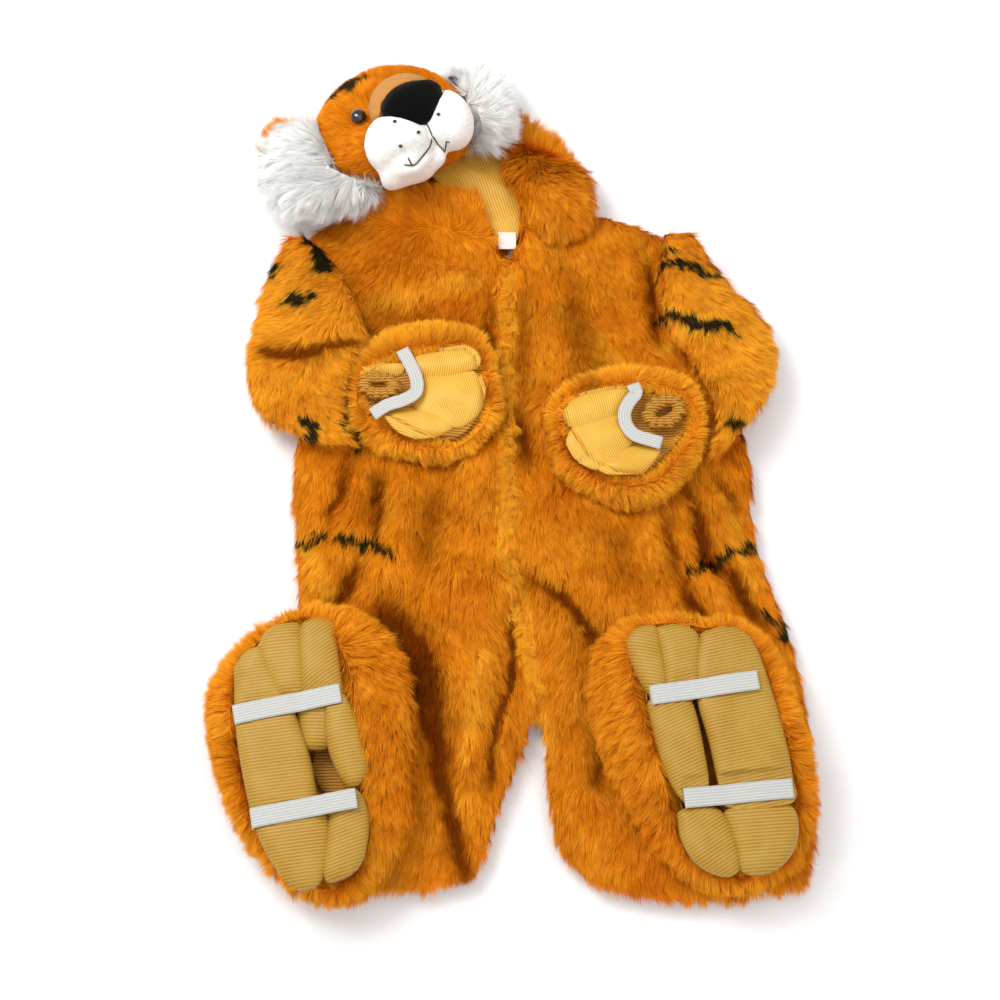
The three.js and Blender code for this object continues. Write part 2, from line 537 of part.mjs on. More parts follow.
// Two grids that share their border, closed into one body.
function slabFromGrids(top, bottom, m, n) {
  const isBorder = (i, j) => i === 0 || j === 0 || i === m - 1 || j === n - 1;
  const points = [...top, ...bottom.map((p, k) => (isBorder(Math.floor(k / n), k % n) ? top[k] : p))];
  const triangles = [];
  for (let i = 0; i < m - 1; i++) {
    for (let j = 0; j < n - 1; j++) {
      const [a, b, c, d] = [i * n + j, i * n + j + 1, (i + 1) * n + j + 1, (i + 1) * n + j];
      const flip = (i === 0 && j === n - 2) || (i === m - 2 && j === 0);
      const pair = flip ? [[a, b, d], [b, c, d]] : [[a, b, c], [a, c, d]];
      for (const t of pair) {
        triangles.push(t, t.map((k) => k + m * n).reverse());
      }
    }
  }
  return facingOut(closedGeometry(points, triangles));
}

function volumeOf(g) {
  const p = g.getAttribute('position');
  const index = g.getIndex();
  let v = 0;
  const [a, b, c] = [new THREE.Vector3(), new THREE.Vector3(), new THREE.Vector3()];
  for (let t = 0; t < index.count; t += 3) {
    a.fromBufferAttribute(p, index.getX(t));
    b.fromBufferAttribute(p, index.getX(t + 1));
    c.fromBufferAttribute(p, index.getX(t + 2));
    v += a.dot(b.cross(c)) / 6;
  }
  return v;
}

function facingOut(g) {
  if (volumeOf(g) < 0) {
    const index = g.getIndex();
    for (let t = 0; t < index.count; t += 3) {
      const k = index.getX(t + 1);
      index.setX(t + 1, index.getX(t + 2));
      index.setX(t + 2, k);
    }
  }
  return g;
}

// A body of rings round a vertical axis: each ring is a function of the angle giving its radius
// and height, and the first and last rings close at the axis. The first mirrored rings split
// their quads the other way, so that they lie parallel to rings listed in the other order.
function ringBody(centre, rings, around, mirrored = 0) {
  const points = [];
  const triangles = [];
  const first = rings[0](0);
  points.push([centre.x, centre.y, first.z]);
  for (const ring of rings.slice(1, -1)) {
    for (let k = 0; k < around; k++) {
      const angle = (2 * Math.PI * k) / around;
      const { r, z } = ring(angle);
      points.push([centre.x + r * Math.cos(angle), centre.y + r * Math.sin(angle), z]);
    }
  }
  points.push([centre.x, centre.y, rings[rings.length - 1](0).z]);
  const last = points.length - 1;
  const at = (i, k) => 1 + i * around + (k % around);
  for (let k = 0; k < around; k++) {
    triangles.push([0, at(0, k + 1), at(0, k)]);
    triangles.push([last, at(rings.length - 3, k), at(rings.length - 3, k + 1)]);
    for (let i = 0; i < rings.length - 3; i++) {
      const q = [at(i, k), at(i, k + 1), at(i + 1, k + 1), at(i + 1, k)];
      const halves = i < mirrored ? [[0, 1, 3], [1, 2, 3]] : [[0, 1, 2], [0, 2, 3]];
      for (const h of halves) triangles.push(h.map((v) => q[v]));
    }
  }
  return facingOut(closedGeometry(points, triangles));
}

// A bowl of fur: floor, outer wall, rounded rim, inner wall. Its floor rests on the ground. Its
// inner wall is a profile of rings, a share of the rim's radius and of the height above the
// floor, that its lining follows.
const BOWL_INSIDE = [[1, 0.84], [0.97, 0.3], [0.84, 0], [0.42, 0]];
const BOWL_BOTTOM = [[0.5, 0], [0.86, 0], [0.97, 0.14], [1, 0.48]];
const BOWL_SHOULDER = [[0.22, 0.78], [0.62, 0.94]];
const CREST_INSET = 9;

function bowlRings(shape, ground, spread, slope = 0.5) {
  const row = (angle) => {
    const q = readTable(shape.rows, angle / (2 * Math.PI), true);
    return { ...q, crest: q.rim + Math.min(CREST_INSET, (q.outer - q.rim) * 0.45) };
  };
  const base = (angle, r) => ground.under(
    shape.centre.x + r * Math.cos(angle), shape.centre.y + r * Math.sin(angle), spread, slope,
  );
  const outer = ([share, up], grow = 0) => (angle) => {
    const q = row(angle);
    const low = base(angle, q.outer * share);
    return { r: q.outer * share + grow, z: low + up * (q.top - low) - (up > 0 ? 0 : grow) };
  };
  const shoulder = ([inwards, up], grow = 0) => (angle) => {
    const q = row(angle);
    const low = base(angle, q.outer);
    const r = q.outer + (q.crest - q.outer) * inwards;
    return { r: r + grow, z: low + up * (q.top - low) + grow };
  };
  const inner = ([share, up], inset) => (angle) => {
    const q = row(angle);
    const low = base(angle, q.rim * share) + BOWL_FLOOR;
    return { r: q.rim * share - inset, z: low + up * (q.top - low) + inset };
  };
  const crest = (grow) => (angle) => {
    const q = row(angle);
    return { r: q.crest, z: q.top + grow };
  };
  return { outer, shoulder, inner, crest, floorZ: base(0, 0) };
}

function bowl(shape, ground, { around, spread = 22, grow = 0 }) {
  const { outer, shoulder, inner, crest, floorZ } = bowlRings(shape, ground, spread);
  return ringBody(shape.centre, [
    () => ({ r: 0, z: floorZ - grow }),
    ...BOWL_BOTTOM.map((q) => outer(q, grow)),
    ...BOWL_SHOULDER.map((q) => shoulder(q, grow)),
    crest(grow),
    ...BOWL_INSIDE.map((q) => inner(q, grow)),
    () => ({ r: 0, z: floorZ + BOWL_FLOOR + grow }),
  ], around);
}

// Lining cloth sewn inside a bowl, from its floor to just under its rim.
function bowlLining(shape, ground, { around, spread = 22, thick, grow = 0 }) {
  const { inner, floorZ } = bowlRings(shape, ground, spread);
  const [near, far] = [SEAM_GAP - grow, SEAM_GAP + thick + grow];
  const hem = (angle) => {
    const q = inner(BOWL_INSIDE[0], (near + far) / 2)(angle);
    return { r: q.r, z: q.z + 3 + grow };
  };
  return ringBody(shape.centre, [
    () => ({ r: 0, z: floorZ + BOWL_FLOOR + near }),
    ...[...BOWL_INSIDE].reverse().map((q) => inner(q, near)),
    hem,
    ...BOWL_INSIDE.map((q) => inner(q, far)),
    () => ({ r: 0, z: floorZ + BOWL_FLOOR + far }),
  ], around, BOWL_INSIDE.length - 1);
}

// A soft mound on the ground from a table of reaches.
function mound(shape, ground, { around, height, grow = 0, spread = 16, slope = 0.5 }) {
  const reach = (angle) => readTable(shape.rows, angle / (2 * Math.PI), true).reach;
  const base = (angle, r) => ground.under(
    shape.centre.x + r * Math.cos(angle), shape.centre.y + r * Math.sin(angle), spread, slope,
  );
  const ring = (share, up) => (angle) => {
    const r = reach(angle) * share + grow;
    return { r, z: base(angle, r - grow) + up * height + (up > 0.1 ? grow : -grow) };
  };
  const centreBase = base(0, 0);
  return ringBody(shape.centre, [
    () => ({ r: 0, z: centreBase - grow }),
    ring(0.55, 0), ring(0.9, 0.03), ring(1, 0.22), ring(0.97, 0.45), ring(0.86, 0.7),
    ring(0.66, 0.88), ring(0.38, 0.97),
    () => ({ r: 0, z: centreBase + height + grow }),
  ], around);
}

// The padded lining inside a mitt: it fills the bowl's floor and its channels stand up as pads.
function paddedLining(shape, ground, { around, thick, pads }) {
  const { inner, floorZ } = bowlRings(shape, ground, 22);
  const folds = pads.map((p) => ({ ...p, height: p.top - thick, width: p.half }));
  const spot = (angle, r) => [
    shape.centre.x + r * Math.cos(angle), shape.centre.y + r * Math.sin(angle),
  ];
  const under = BOWL_INSIDE.slice(1).reverse().map((q) => inner(q, SEAM_GAP));
  const edge = (angle) => {
    const q = inner([1, 0.62], 1.5)(angle);
    return { r: q.r, z: q.z + 1 };
  };
  const crown = (share, rise) => (angle) => {
    const q = inner([share, 0], SEAM_GAP)(angle);
    return { r: q.r, z: q.z + thick + rise + foldHeight(folds, ...spot(angle, q.r)) };
  };
  return ringBody(shape.centre, [
    () => ({ r: 0, z: floorZ + BOWL_FLOOR + SEAM_GAP }),
    ...under, edge,
    crown(0.9, 3), crown(0.78, 0), crown(0.62, 0), crown(0.46, 0), crown(0.3, 0), crown(0.15, 0),
    () => ({ r: 0, z: floorZ + BOWL_FLOOR + thick + foldHeight(folds, ...spot(0, 0)) }),
  ], around, under.length - 1);
}

// A gathered ring of lining round an opening.
function gatheredRing({ x, y, reach, hole, wide, deep, turn }, z, height) {
  const tube = (reach - hole) / 2;
  const g = new THREE.TorusGeometry(hole + tube, tube, 6, 18);
  g.deleteAttribute('normal');
  g.deleteAttribute('uv');
  const p = g.getAttribute('position');
  for (let k = 0; k < p.count; k++) {
    const angle = Math.atan2(p.getY(k), p.getX(k));
    const gather = 1 + 0.07 * Math.sin(7 * angle) + 0.04 * Math.sin(11 * angle + 1);
    const [u, v] = [p.getX(k) * gather * wide, p.getY(k) * gather * deep];
    p.setXYZ(k, u, v, (p.getZ(k) * height) / (2 * tube));
  }
  g.rotateZ(turn);
  g.translate(x, y, z + height / 2);
  return facingOut(mergeVertices(g, 1e-4));
}

// A padded roll along a path of sections.
function roll(sections, { floorAt, along, around, grow = 0 }) {
  const points = [];
  const triangles = [];
  const path = (t) => readTable(sections, t);
  const rings = [];
  for (let k = 0; k <= along; k++) {
    const t = k / along;
    const bulge = Math.sqrt(Math.max(1 - Math.pow(Math.abs(2 * t - 1), 5), 0));
    rings.push({ ...path(t), t, bulge });
  }
  const last = rings.length - 1;
  rings.forEach((s, k) => {
    const a = path(Math.max(s.t - 0.02, 0));
    const b = path(Math.min(s.t + 0.02, 1));
    const len = Math.hypot(b.x - a.x, b.y - a.y);
    const side = [-(b.y - a.y) / len, (b.x - a.x) / len];
    const base = floorAt(s.x, s.y);
    const midZ = base + s.top / 2;
    const cap = (k === 0 ? -1 : 1) * (s.half * 0.2 + grow);
    if (k === 0 || k === last) {
      points.push([s.x + ((b.x - a.x) / len) * cap, s.y + ((b.y - a.y) / len) * cap, midZ]);
      return;
    }
    for (let j = 0; j < around; j++) {
      const angle = (2 * Math.PI * j) / around;
      const w = (s.half * s.bulge + grow) * Math.cos(angle);
      const h = (s.top / 2 + grow) * Math.sin(angle) * (0.35 + 0.65 * s.bulge);
      points.push([s.x + side[0] * w, s.y + side[1] * w, midZ + h]);
    }
  });
  const at = (i, j) => 1 + (i - 1) * around + (j % around);
  const end = points.length - 1;
  for (let j = 0; j < around; j++) {
    triangles.push([0, at(1, j), at(1, j + 1)], [end, at(last - 1, j + 1), at(last - 1, j)]);
    for (let i = 1; i < last - 1; i++) {
      triangles.push([at(i, j), at(i + 1, j), at(i + 1, j + 1)]);
      triangles.push([at(i, j), at(i + 1, j + 1), at(i, j + 1)]);
    }
  }
  return facingOut(closedGeometry(points, triangles));
}

// A flat band along a path, width across and thick high.
function band(path, width, thick) {
  const points = [];
  const triangles = [];
  path.forEach((p, k) => {
    const a = path[Math.max(k - 1, 0)];
    const b = path[Math.min(k + 1, path.length - 1)];
    const len = Math.hypot(b[0] - a[0], b[1] - a[1]);
    const side = [(-(b[1] - a[1]) / len) * (width / 2), ((b[0] - a[0]) / len) * (width / 2)];
    points.push([p[0] - side[0], p[1] - side[1], p[2]], [p[0] + side[0], p[1] + side[1], p[2]]);
    points.push([p[0] + side[0], p[1] + side[1], p[2] + thick]);
    points.push([p[0] - side[0], p[1] - side[1], p[2] + thick]);
  });
  const n = path.length;
  for (let k = 0; k < n - 1; k++) {
    for (let j = 0; j < 4; j++) {
      const [a, b] = [4 * k + j, 4 * k + ((j + 1) % 4)];
      triangles.push([a, b, b + 4], [a, b + 4, a + 4]);
    }
  }
  const e = 4 * (n - 1);
  triangles.push([0, 2, 1], [0, 3, 2], [e, e + 1, e + 2], [e, e + 2, e + 3]);
  return facingOut(closedGeometry(points, triangles));
}

// An ellipsoid with its own axes, for the padded face pieces.
function pad(centre, half, { turn = [0, 0, 0], grow = 0, around = 14, high = 8 }) {
  const g = new THREE.SphereGeometry(1, around, high);
  g.deleteAttribute('normal');
  g.deleteAttribute('uv');
  g.rotateX(Math.PI / 2);
  g.scale(half[0] + grow, half[1] + grow, half[2] + grow);
  g.applyMatrix4(new THREE.Matrix4().makeRotationFromEuler(new THREE.Euler(...turn, 'ZYX')));
  g.translate(centre[0], centre[1], centre[2]);
  return facingOut(mergeVertices(g, 1e-4));
}

function solid(geometry) {
  const p = geometry.getAttribute('position');
  return new wasm.Manifold(new wasm.Mesh({
    numProp: 3,
    vertProperties: new Float32Array(p.array),
    triVerts: new Uint32Array(geometry.getIndex().array),
  }));
}

function fromSolid(body) {
  const parts = body.decompose().sort((a, b) => b.volume() - a.volume());
  const mesh = parts[0].getMesh();
  const g = new THREE.BufferGeometry();
  const xyz = [];
  for (let k = 0; k < mesh.vertProperties.length; k += mesh.numProp) {
    xyz.push(mesh.vertProperties[k], mesh.vertProperties[k + 1], mesh.vertProperties[k + 2]);
  }
  g.setAttribute('position', new THREE.Float32BufferAttribute(xyz, 3));
  g.setIndex([...mesh.triVerts]);
  return mergeVertices(g, 1e-4);
}

const cut = (geometry, ...tools) => fromSolid(
  tools.reduce((body, tool) => body.subtract(solid(tool)), solid(geometry)),
);
const join = (...list) => fromSolid(
  list.slice(1).reduce((body, g) => body.add(solid(g)), solid(list[0])),
);

const ground = new Ground();

// The placed pieces whose names start so, but for elastics.
const piecesOf = (start) => costume.children
  .filter(({ name }) => name.startsWith(start) && !name.includes('elastic'))
  .map(({ geometry }) => geometry);

// Lowers a piece until it rests on one of the pieces below it.
function settle(geometry, below) {
  for (let round = 0; round < 4; round++) {
    const gaps = below.map((g) => solid(geometry).minGap(solid(g), 40));
    geometry.translate(0, 0, SEAM_GAP - Math.min(...gaps));
  }
  return geometry;
}

function place(name, geometry, material, { onGround = true } = {}) {
  const g = geometry.clone();
  if (onGround) ground.add(g);
  g.computeVertexNormals();
  const mesh = new THREE.Mesh(g, material);
  mesh.name = name;
  costume.add(mesh);
  return geometry;
}

// ---------------------------------------------------------------- body panels and hood

// The back panels share the fronts' side edges; above the crotch they meet at the back seam.
const CROTCH_Y = -60;
const backRight = FRONT_RIGHT.map((r) => ({
  ...r, bx: r.by > CROTCH_Y ? BACK_SEAM_X - SEAM_GAP / 2 : r.bx,
}));
const backLeft = FRONT_LEFT.map((r) => ({
  ...r, ax: r.ay > CROTCH_Y ? BACK_SEAM_X + SEAM_GAP / 2 : r.ax,
}));
for (const [name, rows] of [['back_right', backRight], ['back_left', backLeft]]) {
  place(name, layer(rows, { down: 9, across: 2, thick: FUR }), fabric.plush);
}

place('hood_back', layer(HOOD_BACK, { down: 3, across: 4, thick: FUR, ground, spread: 20 }), fabric.plush);
place('hood_lining', layer(HOOD_LINING, {
  down: 7, across: 4, thick: LINING, folds: HOOD_LINING_FOLDS, ground, spread: 14, edge: 2.5,
}), fabric.lining);

const zipZ = FUR + SEAM_GAP;
place('front_zip', band([[6, 262, zipZ], [6, -60, zipZ]], ZIP_WIDTH, ZIP_THICK), fabric.zip);

const fronts = [['front_right', FRONT_RIGHT], ['front_left', FRONT_LEFT]].map(([name, rows]) => [
  name,
  layer(rows, {
    down: 20, across: 8, thick: FUR, folds: FRONT_FOLDS, floor: FUR + SEAM_GAP, puff: 3, ground,
    spread: 24,
  }),
]);
const labelZ = ground.under(7.6, 296, 10, 1);
place('neck_label', band([[7.6, 303, labelZ], [7.6, 290, labelZ]], 13, 0.9), fabric.label);
for (const [name, panel] of fronts) place(name, panel, fabric.plush);

// ---------------------------------------------------------------- mitts, then the sleeves

const mittSpec = { around: 24 };
const sides = [
  { side: 'right', shape: MITT_RIGHT, pads: MITT_PADS_RIGHT, cuff: MITT_CUFF_RIGHT },
  { side: 'left', shape: MITT_LEFT, pads: MITT_PADS_LEFT, cuff: MITT_CUFF_LEFT },
];
const mitts = sides.map(({ side, shape, pads, cuff }) => ({
  side,
  cuff,
  fur: bowl(shape, ground, mittSpec),
  lining: paddedLining(shape, ground, { around: 24, thick: 6, pads }),
}));

const sleeves = [
  { side: 'right', rows: SLEEVE_RIGHT, folds: SLEEVE_RIGHT_FOLDS },
  { side: 'left', rows: SLEEVE_LEFT, folds: SLEEVE_LEFT_FOLDS },
];
for (const { side, rows, folds } of sleeves) {
  const cloth = { down: 7, across: 3, thick: FUR, ground, spread: 25 };
  place(`sleeve_${side}_under`, settle(layer(rows, cloth), piecesOf('front')), fabric.plush);
  const over = { ...cloth, down: 9, across: 4, spread: 32, folds, puff: 4 };
  place(`sleeve_${side}_over`, layer(rows, over), fabric.plush);
}

for (const { side, fur, lining, cuff } of mitts) {
  place(`mitt_${side}_fur`, fur, fabric.plush);
  place(`mitt_${side}_lining`, lining, fabric.lining);
  const z = ground.under(cuff.x, cuff.y, cuff.reach * 1.2, 1);
  place(`mitt_${side}_cuff`, settle(gatheredRing(cuff, z, 13), [fur, lining]), fabric.lining);
}
for (const { on, name, points } of MITT_ELASTICS) {
  const curve = new THREE.CatmullRomCurve3(points.map(([x, y]) => new THREE.Vector3(x, y, 0)));
  const path = curve.getPoints(12).map(({ x, y }) => [x, y, ground.under(x, y, 13, 0.3)]);
  const elastic = settle(band(path, MITT_ELASTIC, ELASTIC_THICK), piecesOf(on));
  place(name, elastic, fabric.elastic, { onGround: false });
}

// ---------------------------------------------------------------- foot covers

const feet = [
  { side: 'right', shape: FOOT_RIGHT, rolls: FOOT_ROLLS_RIGHT },
  { side: 'left', shape: FOOT_LEFT, rolls: FOOT_ROLLS_LEFT },
];
for (const { side, shape, rolls } of feet) {
  const spec = { around: 26, spread: 38 };
  const liningSpec = { ...spec, thick: BOWL_LINING };
  const fur = bowl(shape, ground, spec);
  const lining = bowlLining(shape, ground, liningSpec);
  const floorAt = (x, y) => ground.under(x, y, 38, 0.5) + BOWL_FLOOR + BOWL_LINING + 2 * SEAM_GAP;
  const tools = [
    bowlLining(shape, ground, { ...liningSpec, grow: SEAM_GAP }),
    bowl(shape, ground, { ...spec, grow: SEAM_GAP }),
  ];
  const parts = Object.entries(rolls).map(([part, rows]) => {
    const size = { floorAt, along: 8, around: 10 };
    const body = cut(roll(rows, size), ...tools);
    tools.push(roll(rows, { ...size, grow: SEAM_GAP }));
    return [`foot_${side}_${part}`, body];
  });
  place(`foot_${side}_fur`, fur, fabric.plush);
  place(`foot_${side}_lining`, lining, fabric.lining);
  for (const [name, body] of parts) place(name, body, fabric.lining);
}
for (const { on, name, x0, y0, x1, y1 } of FOOT_ELASTICS) {
  const path = Array.from({ length: 11 }, (_, k) => {
    const [x, y] = [x0 + ((x1 - x0) * k) / 10, y0 + ((y1 - y0) * k) / 10];
    return [x, y, ground.under(x, y, 16, 0.25)];
  });
  const elastic = settle(band(path, FOOT_ELASTIC, ELASTIC_THICK), piecesOf(on));
  place(name, elastic, fabric.elastic, { onGround: false });
}

// ---------------------------------------------------------------- head

place('hood_side_left', mound(HOOD_SIDE, ground, { around: 20, height: 24, spread: 20 }), fabric.plush);
const headSpec = { around: 24, height: HEAD_HEIGHT, spread: 24 };
const head = mound(HEAD, ground, headSpec);
const headGrown = mound(HEAD, ground, { ...headSpec, grow: SEAM_GAP });
const headTop = new Ground();
headTop.add(head);
const eyePad = (x, y, grow) => pad(
  [x, y, headTop.at(x, y) + 1], [9, 9, 7], { around: 10, high: 6, grow },
);
const EYES = [['eye_right', -148.5, 407], ['eye_left', -52, 470]];
const eyeRoom = EYES.map(([, x, y]) => eyePad(x, y, SEAM_GAP));

const ear = mound(EAR_RIGHT, ground, { around: 14, height: 24, spread: 14 });
place('ear_right', cut(ear, headGrown), fabric.ruff);
const ruffs = [['ruff_right', RUFF_RIGHT, 40], ['ruff_left', RUFF_LEFT, 46]].map(
  ([name, shape, height]) => [
    name, cut(mound(shape, ground, { around: 18, height, spread: 22 }), headGrown, ...eyeRoom),
  ],
);
place('head_shell', head, fabric.plush);
for (const [name, body] of ruffs) place(name, body, fabric.ruff);
for (const [name, x, y] of EYES) place(name, cut(eyePad(x, y, 0), headGrown), fabric.eye);

const FACE_TURN = Math.atan2(0.5, 0.87);
const faceTurn = { turn: [0, 0, FACE_TURN] };
const level = (z) => ({ under: () => z });
const muzzleLobes = (grow) => [
  pad([-106, 366, 92], [36, 36, 33], { ...faceTurn, grow }),
  pad([-56, 396, 90], [29, 36, 31], { ...faceTurn, grow }),
  pad([-94, 342, 76], [33, 23, 26], { ...faceTurn, grow }),
];
const nosePad = (grow) => mound(NOSE, level(98), { around: 20, height: 27, grow });
const bridgePad = (grow) => pad([-101, 415, 88], [39, 35, 29], { ...faceTurn, grow });

const muzzle = cut(join(...muzzleLobes(0)), headGrown, nosePad(SEAM_GAP));
const nose = cut(nosePad(0), headGrown);
const bridge = cut(bridgePad(0), headGrown, nosePad(SEAM_GAP), ...muzzleLobes(SEAM_GAP));
place('muzzle', muzzle, fabric.muzzle);
place('nose', nose, fabric.nose);
place('nose_bridge', bridge, fabric.bridge);

export default costume;
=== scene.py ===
"""A child's plush tiger costume laid out flat: fur cloth with combed pile, ribbed lining in the mitts
and foot covers, woven elastics and a padded head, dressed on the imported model."""

import itertools
import math

import bmesh
import bpy
import numpy as np
from bpy.props import FloatProperty, FloatVectorProperty, IntProperty, PointerProperty
from mathutils import Matrix, Vector
from mathutils.bvhtree import BVHTree


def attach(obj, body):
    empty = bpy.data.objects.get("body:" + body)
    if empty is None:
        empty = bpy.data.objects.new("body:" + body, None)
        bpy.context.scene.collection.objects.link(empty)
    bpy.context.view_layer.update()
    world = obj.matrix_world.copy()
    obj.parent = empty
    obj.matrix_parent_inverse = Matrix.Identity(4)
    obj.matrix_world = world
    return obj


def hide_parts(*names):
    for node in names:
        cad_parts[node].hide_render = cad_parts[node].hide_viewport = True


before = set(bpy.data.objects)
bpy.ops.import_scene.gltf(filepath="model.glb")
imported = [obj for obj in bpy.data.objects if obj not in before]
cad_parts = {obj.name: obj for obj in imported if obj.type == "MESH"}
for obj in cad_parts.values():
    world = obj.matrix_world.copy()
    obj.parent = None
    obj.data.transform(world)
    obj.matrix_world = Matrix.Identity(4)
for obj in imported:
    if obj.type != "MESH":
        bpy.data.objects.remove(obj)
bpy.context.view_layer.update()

MM = 0.001

bl_info = {
    "name": "Plush Tiger Costume",
    "version": (1, 0, 0),
    "blender": (4, 5, 0),
    "location": "View3D > Sidebar > Costume",
    "description": "Builds a plush tiger costume laid flat, with combed fur, ribbed lining and elastics",
    "category": "Object",
}

# ------------------------------------------------------------------ sizes and tables, in millimetres

# Fur cloth. pull is how far the cloth lies under the CAD surface, which the pile then fills;
# grain is the cloth's mesh size, length a hair's length, density the hairs on a square millimetre,
# lift a hair's angle off the cloth in degrees, clump the width of a tuft and comb the guide hairs
# that it follows.
FUR = {
    "front_right": dict(pull=6, length=18, density=1.16, lift=19, clump=7, comb="body"),
    "front_left": dict(pull=6, length=18, density=1.12, lift=19, clump=7, comb="body"),
    "hood_back": dict(pull=4, length=18, density=0.9, lift=24, clump=6, comb="hood"),
    "hood_side_left": dict(pull=6, length=19, density=1.6, lift=30, clump=6, comb="hood_side"),
    "head_shell": dict(pull=5, length=10, density=1.8, lift=22, clump=4, comb="head"),
}
for side in ("right", "left"):
    FUR["back_" + side] = dict(
        pull=4, grain=6.5, length=18, density=0.6, lift=24, clump=6, comb="body")
    for part, fur in (
        ("sleeve_{}_under", dict(pull=5, length=18, density=1.0, lift=24, clump=6)),
        ("sleeve_{}_over", dict(pull=6, length=17, density=1.5, lift=22, clump=6)),
        ("mitt_{}_fur", dict(pull=6, length=14, density=1.7, lift=34, clump=4)),
        ("foot_{}_fur", dict(pull=7, length=18, density=1.5, lift=28, clump=6)),
    ):
        FUR[part.format(side)] = dict(fur, comb=part.split("{")[0] + side)

# Guide hairs: place and heading in degrees, 0 towards +X and 90 towards the head end.
COMB = {
    "body": [
        (-150, 230, -105), (-60, 250, -95), (60, 240, -85), (150, 220, -78), (0, 100, -92),
        (-180, 20, -100), (190, 40, -78), (-90, -60, -95), (90, -60, -85), (-200, -150, -105),
        (220, -160, -75), (-60, -220, -100), (90, -220, -82), (-90, -350, -95), (150, -350, -85),
        (-6, -130, -78), (20, -130, -104), (10, -190, -70), (48, -190, -112),
        (-100, 326, 100), (-62, 328, 88), (-25, 312, 75), (-112, 284, -104), (-62, 282, -94),
        (-22, 272, -88),
    ],
    "hood": [(0, 380, 90), (60, 340, 60), (-60, 340, 110), (120, 300, 10)],
    "hood_side": [
        (13, 384, -118), (53, 349, -76), (93, 331, -42), (47, 295, -92), (16, 310, -112),
        (75, 387, -35), (35, 410, -80),
    ],
    "ridge_right": [(0, 240, -50), (0, 150, -75), (0, 60, -55), (0, -60, -70), (20, -180, -55)],
    "ridge_left": [(10, 240, -105), (10, 130, -128), (10, 20, -108), (10, -60, -125), (40, -180, -118)],
    "foot_right": [
        (-180, -118, 85), (-130, -122, 55), (-238, -150, 135), (-262, -230, 192),
        (-238, -330, 222), (-180, -392, -98), (-112, -362, -62), (-104, -285, -72),
        (-112, -215, -78), (-106, -162, -40),
    ],
    "foot_left": [
        (190, -120, 92), (132, -126, 120), (102, -182, -142), (96, -250, -118),
        (118, -340, -112), (210, -392, -92), (284, -340, -42), (292, -240, -14), (272, -152, 38),
    ],
    "sleeve_right": [
        (-170, 250, -120), (-200, 200, -115), (-225, 130, -100), (-215, 80, -70), (-170, 70, -25),
        (-130, 90, -5), (-240, 170, -150), (-150, 130, -20),
    ],
    "sleeve_left": [
        (190, 250, -60), (215, 200, -65), (240, 130, -80), (225, 70, -115), (180, 50, -160),
        (150, 80, 180), (260, 150, -40), (170, 110, -160),
    ],
}
# Where hairs run outwards from a middle instead: its place, and how far they lean down the body.
RADIAL_COMB = {
    "mitt_right": dict(x=-77, y=96, lean=-0.15), "mitt_left": dict(x=118, y=62, lean=-0.15),
    "head": dict(x=-85, y=390, lean=0.1),
    "ruff_right": dict(x=-120, y=400, lean=-0.3), "ruff_left": dict(x=-60, y=410, lean=-0.1),
    "ear": dict(x=-190, y=380, lean=0.0),
}

# Dark stripes on the fur: ends and greatest half width.
STRIPES = [
    (-205, 292, -176, 240, 8), (-236, 264, -224, 238, 7), (-212, 208, -180, 218, 8),
    (-201, 84, -188, 66, 6), (-171, 80, -160, 70, 5), (-146, 68, -131, 58, 6),
    (-202, -34, -170, -30, 6), (-157, -30, -130, -36, 8), (-130, -30, -106, -44, 7),
    (166, 252, 216, 244, 6), (161, 205, 231, 180, 8), (231, 82, 246, 74, 5),
    (183, -66, 261, -34, 8), (258, -112, 283, -134, 7), (166, 270, 180, 268, 4),
    (-180, 440, -146, 461, 9), (-204, 384, -182, 362, 9), (-38, 474, -31, 440, 7),
    (-31, 440, -26, 400, 6),
]
# Golden pile painted as highlight where it catches light: where two sides meet at the front, on ridges
# and along hems.
GOLD_HIGHLIGHTS = [
    (6, 262, 6, -66, 13), (-20, 255, -150, 215, 16), (60, 220, 120, 150, 16),
    (20, -120, 40, -200, 8), (-200, -20, -150, -110, 12), (26, -85, 38, -186, 8),
    (38, -186, 50, -250, 8), (220, 20, 250, -120, 12), (-100, 200, -120, 150, 14),
    (-22, -150, -34, -260, 8), (-150, 170, -230, 158, 6), (150, 165, 230, 210, 6),
]
